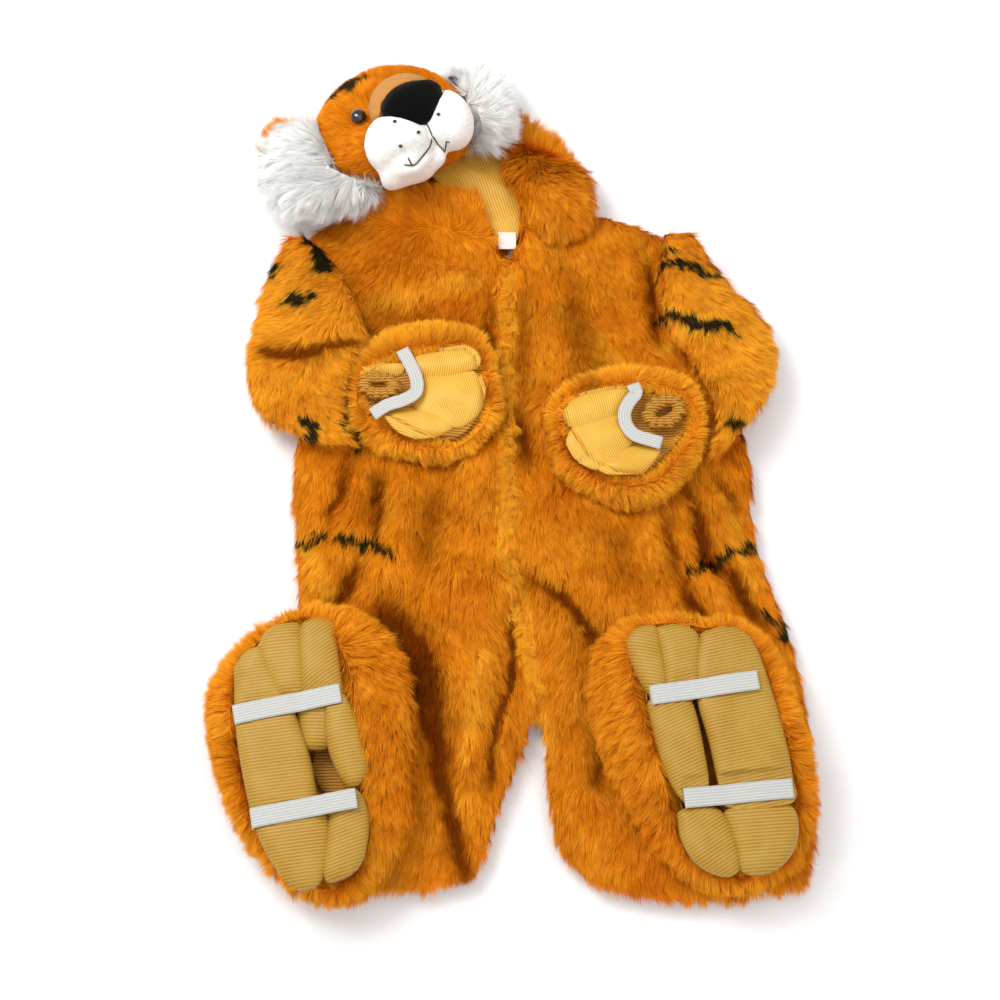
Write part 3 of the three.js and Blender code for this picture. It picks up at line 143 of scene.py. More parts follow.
# Creases of the body's cloth: ends, half width and depth, a ridge where the depth is positive.
# Their troughs also darken the pile's colours as painted shade, and their ridges turn it golden as
# painted highlight.
CREASES = [
    (-108, -106, -89, -146, 23, -13), (-89, -146, -66, -212, 17, -13),
    (-66, -212, -48, -300, 12, -10), (-48, -300, -32, -366, 9, -8),
    (2, -78, -22, -145, 17, 6), (-22, -145, -33, -215, 20, 7), (-33, -215, -35, -300, 16, 5),
    (8, -98, 4, -175, 6, -10), (4, -175, -3, -225, 6, -11), (-3, -225, -14, -275, 6, -8),
    (22, -72, 62, -92, 9, -7), (62, -92, 98, -142, 10, -10), (90, -200, 95, -270, 8, -8),
    (55, -112, 66, -230, 20, 5), (66, -230, 72, -320, 20, 5),
    (-152, 45, -168, -6, 9, -8), (-127, 38, -119, -22, 9, -8), (-139, -52, -160, -108, 10, -9),
    (-137, 25, -140, -16, 9, 4), (-184, 20, -186, -20, 9, 4), (-185, -50, -178, -100, 10, 4),
    (186, 22, 208, -54, 9, -9), (220, 34, 233, 0, 8, -7), (165, -8, 174, -60, 9, -7),
    (217, -58, 253, -120, 9, -8), (177, -74, 198, -122, 9, -8), (216, 2, 218, -32, 9, 4),
    (205, -70, 212, -108, 10, 5), (196, -10, 190, -60, 9, 4),
    (-140, 212, -20, 190, 24, -4), (18, 105, 26, 50, 12, -8),
    (-168, 218, -138, 184, 7, -10), (152, 270, 160, 180, 7, -8), (-30, 120, -34, -30, 15, 4),
    (40, 130, 48, 10, 14, 4), (-60, 30, -80, -60, 16, -4), (110, -20, 130, -90, 18, -4),
    (70, 245, 95, 140, 18, -5), (-10, 240, -10, 120, 8, -5), (24, 235, 22, 120, 8, -4),
]
# The same on the sleeves.
# The first two also darken the sleeves' pile colours as painted shade.
SLEEVE_CREASES = [
    (-236, 156, -190, 160, 8, -9), (-190, 160, -148, 170, 7, -9), (-222, 120, -190, 112, 12, -4),
    (148, 160, 185, 178, 7, -9), (185, 178, 234, 208, 8, -9), (232, 150, 205, 130, 12, -4),
]
# Troughs that the stitching draws into the muzzle.
MUZZLE_CREASES = [
    (-77, 386, -70, 369, 3, -3), (-70, 368, -52, 357, 3, -2.5), (-70, 368, -75, 355, 3, -2),
    (-75, 355, -86, 339, 3.5, -2.5), (-86, 339, -98, 337, 3, -2), (-46, 418, -47, 376, 4, -2.5),
]
# How the chin is drawn in: its place, how far it moves and the reach of the move.
CHIN_DRAW = (-92, 326, -7, 11, 24)
# Filling between the chin and the cheeks: place, half length, half width and tilt.
CHIN_FILLS = [(-92, 346, 24, 15, 24), (-70, 358, 15, 12, 12)]
# Stitched lines of the mouth and the places of the whisker knots.
MOUTH_LINES = [
    [(-77, 386), (-70, 370)], [(-70, 370), (-62, 364), (-52, 357)], [(-90, 337), (-94, 343)],
    [(-70, 368), (-74, 356), (-81, 345), (-86, 339), (-91, 337), (-98, 337)],
]
WHISKER_KNOTS = [(-107, 374), (-83, 366), (-101, 350), (-63, 386)]

# The label's width and length as shares of its solid's.
LABEL_STRETCH = (1.45, 1.5)

# Padded sections of the mitts' lining: the heading across which their ribs run, and their outline.
MITT_SECTIONS = {
    "right": [
        dict(heading=-10, outline=[
            (-83, 123), (-86, 140), (-71, 147), (-42, 153), (-30, 150), (-24, 144), (-23, 134),
            (-46, 126), (-68, 123),
        ]),
        dict(heading=18, outline=[
            (-76, 121), (-50, 122), (-27, 125), (-18, 115), (-17, 102), (-23, 84), (-34, 74),
            (-46, 70), (-60, 78), (-82, 89), (-87, 103), (-84, 115),
        ]),
        dict(heading=70, outline=[
            (-114, 79), (-104, 86), (-90, 88), (-70, 79), (-50, 70), (-55, 64), (-72, 58),
            (-90, 58), (-103, 66),
        ]),
        dict(heading=-12, outline=[
            (-140, 134), (-121, 137), (-101, 137), (-101, 130), (-121, 127), (-140, 126),
        ]),
    ],
    "left": [
        dict(heading=12, outline=[
            (65, 82), (68, 91), (80, 101), (100, 107), (118, 109), (128, 108), (129, 99),
            (121, 85), (100, 76), (76, 69), (67, 74),
        ]),
        dict(heading=28, outline=[
            (73, 65), (99, 74), (118, 80), (120, 68), (130, 56), (123, 45), (108, 32), (98, 24),
            (86, 27), (73, 38), (68, 51),
        ]),
        dict(heading=60, outline=[
            (99, 22), (113, 34), (124, 43), (144, 49), (157, 45), (152, 35), (140, 22), (123, 19),
            (107, 19),
        ]),
    ],
}

# Padded sections of the foot covers' lining: the solid that each stands for, the height of its
# crest, the heading across which its ribs run, and its outline.
FOOT_SECTIONS = {
    "right": [
        dict(node="toe_outer", crest=82, heading=96, outline=[
            (-226, -160), (-219, -147), (-204, -140), (-190, -142), (-187, -167), (-183, -193),
            (-186, -204), (-206, -206), (-222, -180),
        ]),
        dict(node="toe_inner", crest=84, heading=128, outline=[
            (-188, -146), (-182, -137), (-172, -134), (-161, -138), (-157, -158), (-152, -187),
            (-151, -208), (-180, -206), (-185, -173),
        ]),
        dict(node="toe_inner", crest=78, heading=88, outline=[
            (-189, -206), (-153, -208), (-155, -228), (-157, -248), (-167, -253), (-181, -249),
        ]),
        dict(node="side_outer", crest=84, heading=-82, outline=[
            (-247, -181), (-238, -168), (-226, -164), (-216, -180), (-203, -204), (-191, -230),
            (-178, -266), (-170, -299), (-159, -322), (-157, -346), (-160, -366), (-170, -380),
            (-186, -378), (-205, -356), (-219, -329), (-232, -286), (-242, -237),
        ]),
        dict(node="side_inner", crest=86, heading=-80, outline=[
            (-160, -214), (-149, -207), (-139, -222), (-129, -250), (-125, -276), (-137, -289),
            (-152, -266), (-159, -240),
        ]),
        dict(node="side_inner", crest=85, heading=-70, outline=[
            (-152, -302), (-134, -296), (-124, -312), (-123, -338), (-130, -362), (-150, -374),
            (-157, -366), (-155, -340),
        ]),
    ],
    "left": [
        dict(node="toe_inner", crest=82, heading=80, outline=[
            (122, -155), (128, -146), (138, -142), (147, -144), (151, -166), (156, -202),
            (144, -206), (132, -188), (124, -169),
        ]),
        dict(node="toe_outer", crest=84, heading=104, outline=[
            (150, -144), (165, -141), (180, -145), (187, -156), (186, -179), (182, -206),
            (160, -208), (155, -174),
        ]),
        dict(node="side_outer", crest=85, heading=-78, outline=[
            (192, -149), (209, -144), (228, -148), (240, -166), (251, -202), (261, -244),
            (266, -282), (264, -304), (210, -307), (203, -286), (196, -249), (187, -212),
            (186, -179),
        ]),
        dict(node="side_inner", crest=83, heading=-66, outline=[
            (140, -214), (153, -207), (173, -210), (180, -226), (185, -254), (189, -286),
            (184, -305), (172, -304), (158, -284), (147, -250),
        ]),
        dict(node="heel_inner", crest=80, heading=-58, outline=[
            (165, -315), (182, -310), (202, -316), (213, -340), (214, -364), (200, -368),
            (180, -358), (168, -338),
        ]),
        dict(node="heel_outer", crest=81, heading=-86, outline=[
            (207, -315), (223, -309), (260, -309), (269, -319), (267, -340), (256, -357),
            (238, -367), (221, -364), (216, -346),
        ]),
    ],
}

# The line along which the fronts meet, and how far from it the raised pile grows.
FRONT_EDGE = [(6, 262), (6, -66), (37, -205)]
FRONT_EDGE_REACH = 9

# Elastics: their widths, thickness and the middle line that each follows.
MITT_ELASTIC, FOOT_ELASTIC, ELASTIC_THICKNESS = 13, 18, 1.7
ELASTIC_LINES = {
    "foot_right_elastic_toe": [(-247, -226), (-148, -206)],
    "foot_right_elastic_heel": [(-228, -321), (-130, -303)],
    "foot_left_elastic_toe": [(139, -208), (240, -194)],
    "foot_left_elastic_heel": [(168, -302), (268, -293)],
    "mitt_right_elastic": [
        (-99, 150), (-91, 134), (-84, 117), (-84, 102), (-96, 93), (-113, 87), (-127, 78),
    ],
    "mitt_left_elastic": [
        (133, 112), (136, 102), (129, 92), (124, 80), (126, 67), (134, 57), (147, 52), (160, 48),
    ],
}

# Hairs don't grow where another piece lies this close above the cloth, or beside it.
COVERED_ABOVE, COVERED_BESIDE = 14, 2
# How near a front's edge has to be to its neighbour to move out to it, and how far it moves.
MEETING_REACH, MEETING_STEP = 8, 2
# How far from a rim hairs start to lean over it.
RIM_REACH = 13

# The camera's aim in metres, its focal length and sensor width, and the sky's strength.
AIM, FOCAL_LENGTH, SENSOR_WIDTH, SKY = (0, 0, 0.03), 57.6, 36, 0.68
# Studio lights: name, place in metres, power in watts and size in metres.
LIGHTS = [
    ("key", (-0.9, 0.6, 1.7), 22, 0.9), ("fill", (1.2, -0.9, 1.5), 5, 1.6),
    ("top", (0.1, 0.0, 2.2), 9, 2.0),
]

UP, DOWN = Vector((0, 0, 1)), Vector((0, 0, -1))


def linear(code):
    """An sRGB hex colour as linear red, green and blue."""
    parts = [int(code[k:k + 2], 16) / 255 for k in (0, 2, 4)]
    return [p / 12.92 if p <= 0.04045 else ((p + 0.055) / 1.055) ** 2.4 for p in parts]


def paint(code):
    return (*linear(code), 1.0)


def colour_property(name, description, code):
    return FloatVectorProperty(
        name=name, description=description, default=linear(code), min=0, max=1, subtype="COLOR")


class CostumeFurSettings(bpy.types.PropertyGroup):
    """Sizes and colours of the plush."""

    hair_length: FloatProperty(
        name="Hair length", description="Length of every hair, as a share of its table's length",
        default=1.0, min=0.4, max=1.6,
    )
    hair_width: FloatProperty(
        name="Hair width", description="Width of a tuft of hairs at its middle",
        default=0.85 * MM, min=0.3 * MM, max=4 * MM, unit="LENGTH",
    )
    hair_density: FloatProperty(
        name="Hair density", description="Hairs on the plush, as a share of its table's density",
        default=1.0, min=0.05, max=1.3,
    )
    # The roots' deep colour is darker than the body's as painted shade down among the hairs, and gold on
    # ridges and strokes is painted highlight.
    deep: colour_property("Deep", "Colour at the roots", "ad4c00")
    body: colour_property("Body", "Colour of the pile", "e87c00")
    gold: colour_property("Gold", "Colour of pale tips and ridges", "fdb830")
    stripe: colour_property("Stripe", "Colour of the stripes", "2b2410")
    seed: IntProperty(name="Seed", description="Seed of the hairs' places", default=7, min=0)


class CostumeLiningSettings(bpy.types.PropertyGroup):
    """Sizes and colours of the lining and elastics."""

    rib_pitch: FloatProperty(
        name="Rib pitch", description="Distance from rib to rib of the lining",
        default=2.6 * MM, min=1 * MM, max=8 * MM, unit="LENGTH",
    )
    rib_height: FloatProperty(
        name="Rib height", description="Height of a rib above its groove",
        default=0.7 * MM, min=0, max=2 * MM, unit="LENGTH",
    )
    # The grooves' colour is darker than the crests' as painted shade between the ribs.
    crest: colour_property("Crest", "Colour on the ribs", "f3c046")
    groove: colour_property("Groove", "Colour between the ribs", "c08420")


class CostumeStageSettings(bpy.types.PropertyGroup):
    """Camera and light."""

    elevation: FloatProperty(
        name="Elevation", description="Angle of the camera above the floor",
        default=math.radians(72), min=0, max=math.radians(90), subtype="ANGLE",
    )
    distance: FloatProperty(
        name="Distance", description="Distance of the camera from the costume's middle",
        default=1.6, min=0.3, max=5, unit="LENGTH",
    )


# ------------------------------------------------------------------ colour, noise and materials

def soft_noise(points, size, seed):
    """Smooth noise from -1 to 1 at each point, in bumps about size across."""
    grid = points / size
    cell = np.floor(grid).astype(np.int64)
    part = grid - cell
    part = part * part * (3 - 2 * part)
    total = np.zeros(len(points))
    for corner in itertools.product((0, 1), repeat=3):
        mixed = (cell + corner) @ np.array([73856093, 19349663, 83492791]) + seed * 7919
        mixed = (mixed ^ (mixed >> 13)) * 1274126177 & 0x7FFFFFFF
        mixed = (mixed ^ (mixed >> 11)) * 974634777 & 0x7FFFFFFF
        weight = np.prod(np.where(corner, part, 1 - part), axis=1)
        total += weight * (mixed / 0x3FFFFFFF - 1)
    return total


def add_node(tree, kind, inputs=None, **settings):
    """Adds a node with its settings; an input is a value or the socket that feeds it."""
    node = tree.nodes.new(kind)
    for name, value in settings.items():
        setattr(node, name, value)
    for name, value in (inputs or {}).items():
        if isinstance(value, bpy.types.NodeSocket):
            tree.links.new(value, node.inputs[name])
        else:
            node.inputs[name].default_value = value
    return node


def new_material(name, look):
    """A material whose surface is the shader that look(tree) returns."""
    if name in bpy.data.materials:
        return bpy.data.materials[name]
    material = bpy.data.materials.new(name)
    material.use_nodes = True
    tree = material.node_tree
    tree.nodes.clear()
    shader = look(tree)
    add_node(tree, "ShaderNodeOutputMaterial", {"Surface": shader.outputs[0]})
    return material


def bands(tree, scale, inputs=None, axis="Y"):
    """A pattern of bands over the piece, or over the map that inputs name."""
    inputs = dict(inputs or {}, Scale=scale)
    if "Vector" not in inputs:
        inputs["Vector"] = add_node(tree, "ShaderNodeTexCoord").outputs["Object"]
    return add_node(tree, "ShaderNodeTexWave", inputs, bands_direction=axis).outputs[1]


def specks(tree, kind, scale, inputs=None):
    """A noise or cell pattern over the piece."""
    place = add_node(tree, "ShaderNodeTexCoord").outputs["Object"]
    return add_node(tree, kind, dict(inputs or {}, Vector=place, Scale=scale)).outputs[0]


def between(tree, share, low, high, **settings):
    """A colour between two, each a hex code, a colour or a socket."""
    low, high = (paint(c) if isinstance(c, str) else c for c in (low, high))
    mixed = {"Factor": share, "A": low, "B": high}
    return add_node(tree, "ShaderNodeMix", mixed, data_type="RGBA", **settings).outputs[2]


def relief(tree, height, strength, depth):
    """Relief of a depth in millimetres."""
    inputs = {"Height": height, "Strength": strength, "Distance": depth * MM}
    return add_node(tree, "ShaderNodeBump", inputs).outputs[0]


def principled(tree, colour, roughness, inputs=None):
    inputs = {"Base Color": colour, "Roughness": roughness} | (inputs or {})
    return add_node(tree, "ShaderNodeBsdfPrincipled", inputs)


def own_colour(tree):
    """The tint that the mesh itself carries."""
    return add_node(tree, "ShaderNodeAttribute", attribute_name="pile_colour").outputs["Color"]


def pile_look(tree):
    """Acrylic plush pile: each hair has its own tint from root to tip."""
    return principled(tree, own_colour(tree), 0.5, {"Specular IOR Level": 0.03})


def backing_look(tree):
    """Knitted backing under the pile: dull, with the matted roots of the hairs."""
    roots = specks(tree, "ShaderNodeTexNoise", 420, {"Detail": 4.0, "Roughness": 0.7})
    tone = between(tree, roots, own_colour(tree), "cfcfcf", blend_type="MULTIPLY")
    return principled(tree, tone, 0.85, {
        "Normal": relief(tree, roots, 0.6, 1.2), "Specular IOR Level": 0.15,
    })


def velour_look(tree):
    """Short sheared pile: a grain of 1.6 mm over one colour."""
    grain = specks(tree, "ShaderNodeTexNoise", 620, {"Detail": 3.0, "Roughness": 0.6})
    return principled(tree, own_colour(tree), 0.85, {
        "Normal": relief(tree, grain, 0.55, 1.0), "Specular IOR Level": 0.05,
        "Sheen Weight": 0.05, "Sheen Roughness": 0.5,
    })


def lining_look(tree, shade=1.0):
    """Ribbed tricot lining: golden, a little shiny on the ribs and darker in the grooves as painted
    shade.
    """
    # A shade below 1 darkens every colour as painted shade.
    def dimmed(colour):
        return (*(np.array(colour) * shade), 1)

    settings = bpy.context.scene.costume_lining
    rib = add_node(tree, "ShaderNodeAttribute", attribute_name="rib").outputs["Fac"]
    ribs = between(tree, rib, dimmed(settings.groove), dimmed(settings.crest))
    # Loose patches tinted paler and yellower.
    toned = add_node(tree, "ShaderNodeMapRange", {
        "Value": specks(tree, "ShaderNodeTexNoise", 38, {"Detail": 3.0}),
        "From Min": 0.35, "From Max": 0.7, "To Min": 0.0, "To Max": 0.35,
    })
    tone = between(tree, toned.outputs[0], ribs, dimmed((0.9, 0.6, 0.11)))
    # The knit's stitches are 0.5 mm apart, drawn at 1.1 mm so that they show.
    stitches = specks(tree, "ShaderNodeTexVoronoi", 900)
    return principled(tree, tone, 0.5, {
        "Normal": relief(tree, stitches, 0.35, 0.3), "Specular IOR Level": 0.35,
        "Sheen Weight": 0.08, "Sheen Roughness": 0.35,
    })


def cup_lining_look(tree):
    """The same lining where it is gathered or lies deep: ribs as a pattern across it."""
    # Darker than the lining as painted shade where it lies deep, and darker still between the ribs as
    # painted shade.
    ribs = bands(tree, 112, {"Distortion": 0.8, "Detail": 1.0})
    return principled(tree, between(tree, ribs, "8f5713", "d49a38"), 0.55, {
        "Normal": relief(tree, ribs, 0.7, 0.7), "Specular IOR Level": 0.25,
    })


def elastic_look(tree):
    """Woven elastic: white, with cords of rubber running along it and picks across."""
    along = add_node(tree, "ShaderNodeUVMap", uv_map="weave").outputs[0]
    # The cords are 2.6 mm apart across the band, and the picks 0.9 mm apart along it.
    cords = bands(tree, 0.12, {"Vector": along, "Distortion": 0.0}, "X")
    picks = bands(tree, 0.35, {"Vector": along, "Distortion": 0.6, "Detail": 1.0})
    both = add_node(tree, "ShaderNodeMath", {0: cords, 1: picks}, operation="MULTIPLY").outputs[0]
    return principled(tree, between(tree, both, "b2b2ae", "f3f3ee"), 0.62, {
        "Normal": relief(tree, both, 0.7, 0.35), "Specular IOR Level": 0.3,
    })


def ribbon_look(tree):
    """Satin ribbon of the label: fine weave, soft shine."""
    weave = bands(tree, 260, {"Distortion": 0.4})
    return principled(tree, between(tree, weave, "dcdad4", "fbfaf7"), 0.4, {
        "Normal": relief(tree, weave, 0.3, 0.15),
    })


def tape_look(tree):
    """Polyester zip tape: a plain weave dyed to the plush."""
    return principled(tree, between(tree, bands(tree, 220, {"Distortion": 0.3}), "8e5411", "c07a22"), 0.7)


def thread_look(tree):
    """Embroidery thread of the mouth: dark brown with a slight gloss."""
    return principled(tree, between(tree, bands(tree, 500, axis="DIAGONAL"), "15100d", "3c2c22"), 0.5)


def paper_look(tree):
    """Matt white paper of the studio floor, with a faint tooth."""
    tooth = specks(tree, "ShaderNodeTexNoise", 60)
    return principled(tree, between(tree, tooth, "f8f8f8", "ffffff"), 0.95, {"Specular IOR Level": 0.1})


def eye_look(tree):
    """Moulded acrylic eye: near black, polished, with a faint brown depth."""
    depth = specks(tree, "ShaderNodeTexNoise", 160, {"Detail": 2.0})
    return principled(tree, between(tree, depth, "050404", "1a0f08"), 0.06, {
        "Coat Weight": 1.0, "Coat Roughness": 0.03, "IOR": 1.49,
    })


# ------------------------------------------------------------------ making pieces

def new_piece(name, mesh, slot, *nodes):
    """A named piece of the costume that stands for CAD nodes and hides them; slot is not used."""
    piece = bpy.data.objects.new(name, mesh)
    bpy.context.scene.collection.objects.link(piece)
    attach(piece, "root")
    if nodes:
        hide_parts(*nodes)
    return piece


def merged_copy(node):
    """A copy of a CAD node's mesh with its loose triangles joined."""
    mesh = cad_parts[node].data.copy()
    mesh.materials.clear()
    bm = bmesh.new()
    bm.from_mesh(mesh)
    bmesh.ops.remove_doubles(bm, verts=bm.verts, dist=1e-5)
    bm.to_mesh(mesh)
    bm.free()
    return mesh


def applied(piece, kind, **settings):
    """Gives the piece the mesh that one modifier makes of it."""
    modifier = piece.modifiers.new(kind.title(), kind)
    for name, value in settings.items():
        setattr(modifier, name, value)
    graph = bpy.context.evaluated_depsgraph_get()
    mesh = bpy.data.meshes.new_from_object(piece.evaluated_get(graph), depsgraph=graph)
    piece.modifiers.clear()
    old = piece.data
    piece.data = mesh
    bpy.data.meshes.remove(old)
    return piece


def places_of(mesh):
    points = np.empty(len(mesh.vertices) * 3)
    mesh.vertices.foreach_get("co", points)
    return points.reshape(-1, 3)


def normals_of(mesh):
    normals = np.empty(len(mesh.vertices) * 3)
    mesh.vertex_normals.foreach_get("vector", normals)
    return normals.reshape(-1, 3)


def triangles_of(mesh):
    mesh.calc_loop_triangles()
    corners = np.empty(len(mesh.loop_triangles) * 3, dtype=np.int32)
    mesh.loop_triangles.foreach_get("vertices", corners)
    return corners.reshape(-1, 3)


def move_to(mesh, points):
    mesh.vertices.foreach_set("co", points.ravel())
    mesh.update()


def dress(mesh, name, look):
    """Gives a mesh one material and no other."""
    mesh.materials.clear()
    mesh.materials.append(new_material(name, look))


def shade_smooth(mesh):
    mesh.polygons.foreach_set("use_smooth", np.ones(len(mesh.polygons), dtype=bool))


def directions(heading):
    """Unit vectors along a heading in plan and across it."""
    angle = math.radians(heading)
    along = np.array([math.cos(angle), math.sin(angle), 0])
    return along, np.array([-along[1], along[0], 0])


def new_grid(bm, columns, rows):
    """The corners of a new grid, row by row, one more in each than its columns."""
    corners = bmesh.ops.create_grid(bm, x_segments=columns, y_segments=rows, size=1)["verts"]
    return sorted(corners, key=lambda v: (round(v.co.y, 5), round(v.co.x, 5)))


def write_form(bm, mesh):
    """Joins and closes a form and writes it to a mesh with smooth faces."""
    bmesh.ops.remove_doubles(bm, verts=bm.verts, dist=1e-6)
    bmesh.ops.holes_fill(bm, edges=[e for e in bm.edges if e.is_boundary], sides=0)
    bmesh.ops.recalc_face_normals(bm, faces=bm.faces)
    bm.to_mesh(mesh)
    bm.free()
    shade_smooth(mesh)


def smooth(mesh, rounds, heights_only=False):
    """Softens a mesh; heights_only keeps its outline."""
    bm = bmesh.new()
    bm.from_mesh(mesh)
    verts = [v for v in bm.verts if v.normal.z > 0.3] if heights_only else bm.verts[:]
    for _ in range(rounds):
        bmesh.ops.smooth_vert(
            bm, verts=verts, factor=0.5, use_axis_x=not heights_only,
            use_axis_y=not heights_only, use_axis_z=True,
        )
    bm.to_mesh(mesh)
    bm.free()


def distance_to(points, x0, y0, x1, y1):
    """Each point's distance in plan from a line between two places, and its share along it."""
    start = np.array([x0, y0]) * MM
    run = np.array([x1, y1]) * MM - start
    share = np.clip((points[:, :2] - start) @ run / (run @ run), 0, 1)
    away = points[:, :2] - start - share[:, None] * run
    return np.hypot(away[:, 0], away[:, 1]), share


def in_creases(points, rows):
    """For each crease its depth and how far each point lies in it."""
    warped = points + 0.006 * soft_noise(points, 0.03, 5)[:, None]
    for x0, y0, x1, y1, half, depth in rows:
        away, share = distance_to(warped, x0, y0, x1, y1)
        along = np.sin(np.pi * np.clip(share * 0.9 + 0.05, 0, 1)) ** 0.3
        yield depth, np.exp(-(away / (half * MM)) ** 2) * along


def tree_of(mesh):
    return BVHTree.FromPolygons(
        [v.co for v in mesh.vertices], [tuple(p.vertices) for p in mesh.polygons])


def press_creases(mesh, rows, waves=0.0):
    """Troughs, ridges and low waves on the upper side of a cloth, kept above its underside."""
    tree = tree_of(mesh)
    points, normals = places_of(mesh), normals_of(mesh)
    shift = waves * MM * (soft_noise(points, 0.06, 6) + 0.5 * soft_noise(points, 0.022, 7))
    for depth, share in in_creases(points, rows):
        shift += depth * MM * share
    shift *= np.clip(normals[:, 2] * 1.6 - 0.3, 0, 1)
    for k in np.flatnonzero(shift < -0.0005):
        hit = tree.ray_cast(Vector(points[k]) - Vector((0, 0, 0.0004)), DOWN, 0.1)
        if hit[0] is not None:
            shift[k] = max(shift[k], -0.55 * hit[3])
    points[:, 2] += shift
    move_to(mesh, points)


def pull_in(mesh, depth, share=0.42, own=None):
    """Moves the upper side of a closed cloth in by depth, or by a share of its thickness.

    Where the cloth meets a neighbour of own edge to edge, it moves out to it instead."""
    tree = tree_of(mesh)
    points, normals = places_of(mesh), normals_of(mesh)
    steps = np.zeros(len(points))
    for k in np.flatnonzero(normals[:, 2] > -0.35):
        normal = Vector(normals[k])
        flat = Vector((normal.x, normal.y, 0))
        out = flat.normalized()
        if own and flat.length > 0.35 and COVER.hides(
                own, Vector(points[k]), out, MEETING_REACH * MM):
            points[k] += np.array(out) * MEETING_STEP * MM
            continue
        hit = tree.ray_cast(Vector(points[k]) - normal * 0.0004, -normal, 0.06)
        room = hit[3] if hit[0] is not None else 0.06
        steps[k] = min(depth * MM, share * room)
    move_to(mesh, points - normals * steps[:, None])


class Cover:
    """All CAD nodes in one tree of triangles, to find what is hidden under other pieces."""

    def __init__(self):
        points, faces, self.owners = [], [], []
        for name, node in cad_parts.items():
            start = len(points)
            points += [v.co.copy() for v in node.data.vertices]
            node.data.calc_loop_triangles()
            for tri in node.data.loop_triangles:
                faces.append([start + v for v in tri.vertices])
                self.owners.append(name)
        self.tree = BVHTree.FromPolygons(points, faces)

    def hides(self, own, place, heading, reach):
        """Whether something other than own lies within reach of a place along a heading."""
        for _ in range(4):
            hit = self.tree.ray_cast(place, heading, reach)
            if hit[0] is None:
                return False
            if self.owners[hit[2]] not in own:
                return True
            place = hit[0] + heading * 0.0005
            reach -= hit[3]
            if reach <= 0:
                return False
        return False


COVER = Cover()


def bare_faces(mesh, own):
    """The triangles of a cloth that hairs show on: not its underside and not under other pieces."""
    corners, points = triangles_of(mesh), places_of(mesh)
    a, b, c = (points[corners[:, k]] for k in range(3))
    normals = np.cross(b - a, c - a)
    areas = np.linalg.norm(normals, axis=1) / 2
    normals /= np.maximum(2 * areas, 1e-12)[:, None]
    middles = (a + b + c) / 3
    keep = normals[:, 2] > -0.3
    for k in np.flatnonzero(keep):
        normal = Vector(normals[k])
        place = Vector(middles[k]) + normal * 0.001
        if normal.z > 0.25 and COVER.hides(own, place, UP, COVERED_ABOVE * MM):
            keep[k] = False
        elif normal.z <= 0.45 and COVER.hides(own, place, normal, COVERED_BESIDE * MM):
            keep[k] = False
    return corners[keep], areas[keep]


def heading_field(points, comb):
    """The way that hairs lie at each point, as unit vectors in plan."""
    if comb in RADIAL_COMB:
        middle = RADIAL_COMB[comb]
        away = points[:, :2] - np.array([middle["x"], middle["y"]]) * MM
        away /= np.maximum(np.linalg.norm(away, axis=1), 1e-6)[:, None]
        flow = np.column_stack([away[:, 0], away[:, 1] + middle["lean"]])
    else:
        flow = np.zeros((len(points), 2))
        for x, y, angle in COMB[comb]:
            away = np.linalg.norm(points[:, :2] - np.array([x, y]) * MM, axis=1)
            weight = 1 / (away ** 2 + 0.03 ** 2) ** 2
            flow += weight[:, None] * directions(angle)[0][:2]
    return flow / np.maximum(np.linalg.norm(flow, axis=1), 1e-9)[:, None]


def stroke_mask(points, rows, fray):
    """How far each point lies inside listed strokes: 1 on their middle line, 0 outside."""
    wobble = np.column_stack([soft_noise(points, 0.011, 21), soft_noise(points, 0.011, 22)])
    wobble += 0.5 * np.column_stack([soft_noise(points, 0.004, 23), soft_noise(points, 0.004, 24)])
    warped = points[:, :2] + fray * MM * wobble
    best = np.zeros(len(points))
    for x0, y0, x1, y1, half in rows:
        away, share = distance_to(warped, x0, y0, x1, y1)
        taper = 0.45 + 0.55 * np.sin(np.pi * np.clip(share, 0.02, 0.98)) ** 0.7
        best = np.maximum(best, 1 - away / (half * MM * taper))
    return np.clip(best, 0, 1)


def closeness(points, nodes, reach):
    """How near each point lies to some CAD nodes: 1 at their surface, 0 from reach on."""
    trees = [tree_of(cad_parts[node].data) for node in nodes]
    near = np.zeros(len(points))
    for k, point in enumerate(points):
        for tree in trees:
            hit = tree.find_nearest(Vector(point), reach * MM)
            if hit[0] is not None:
                near[k] = max(near[k], 1 - hit[3] / (reach * MM))
    return near


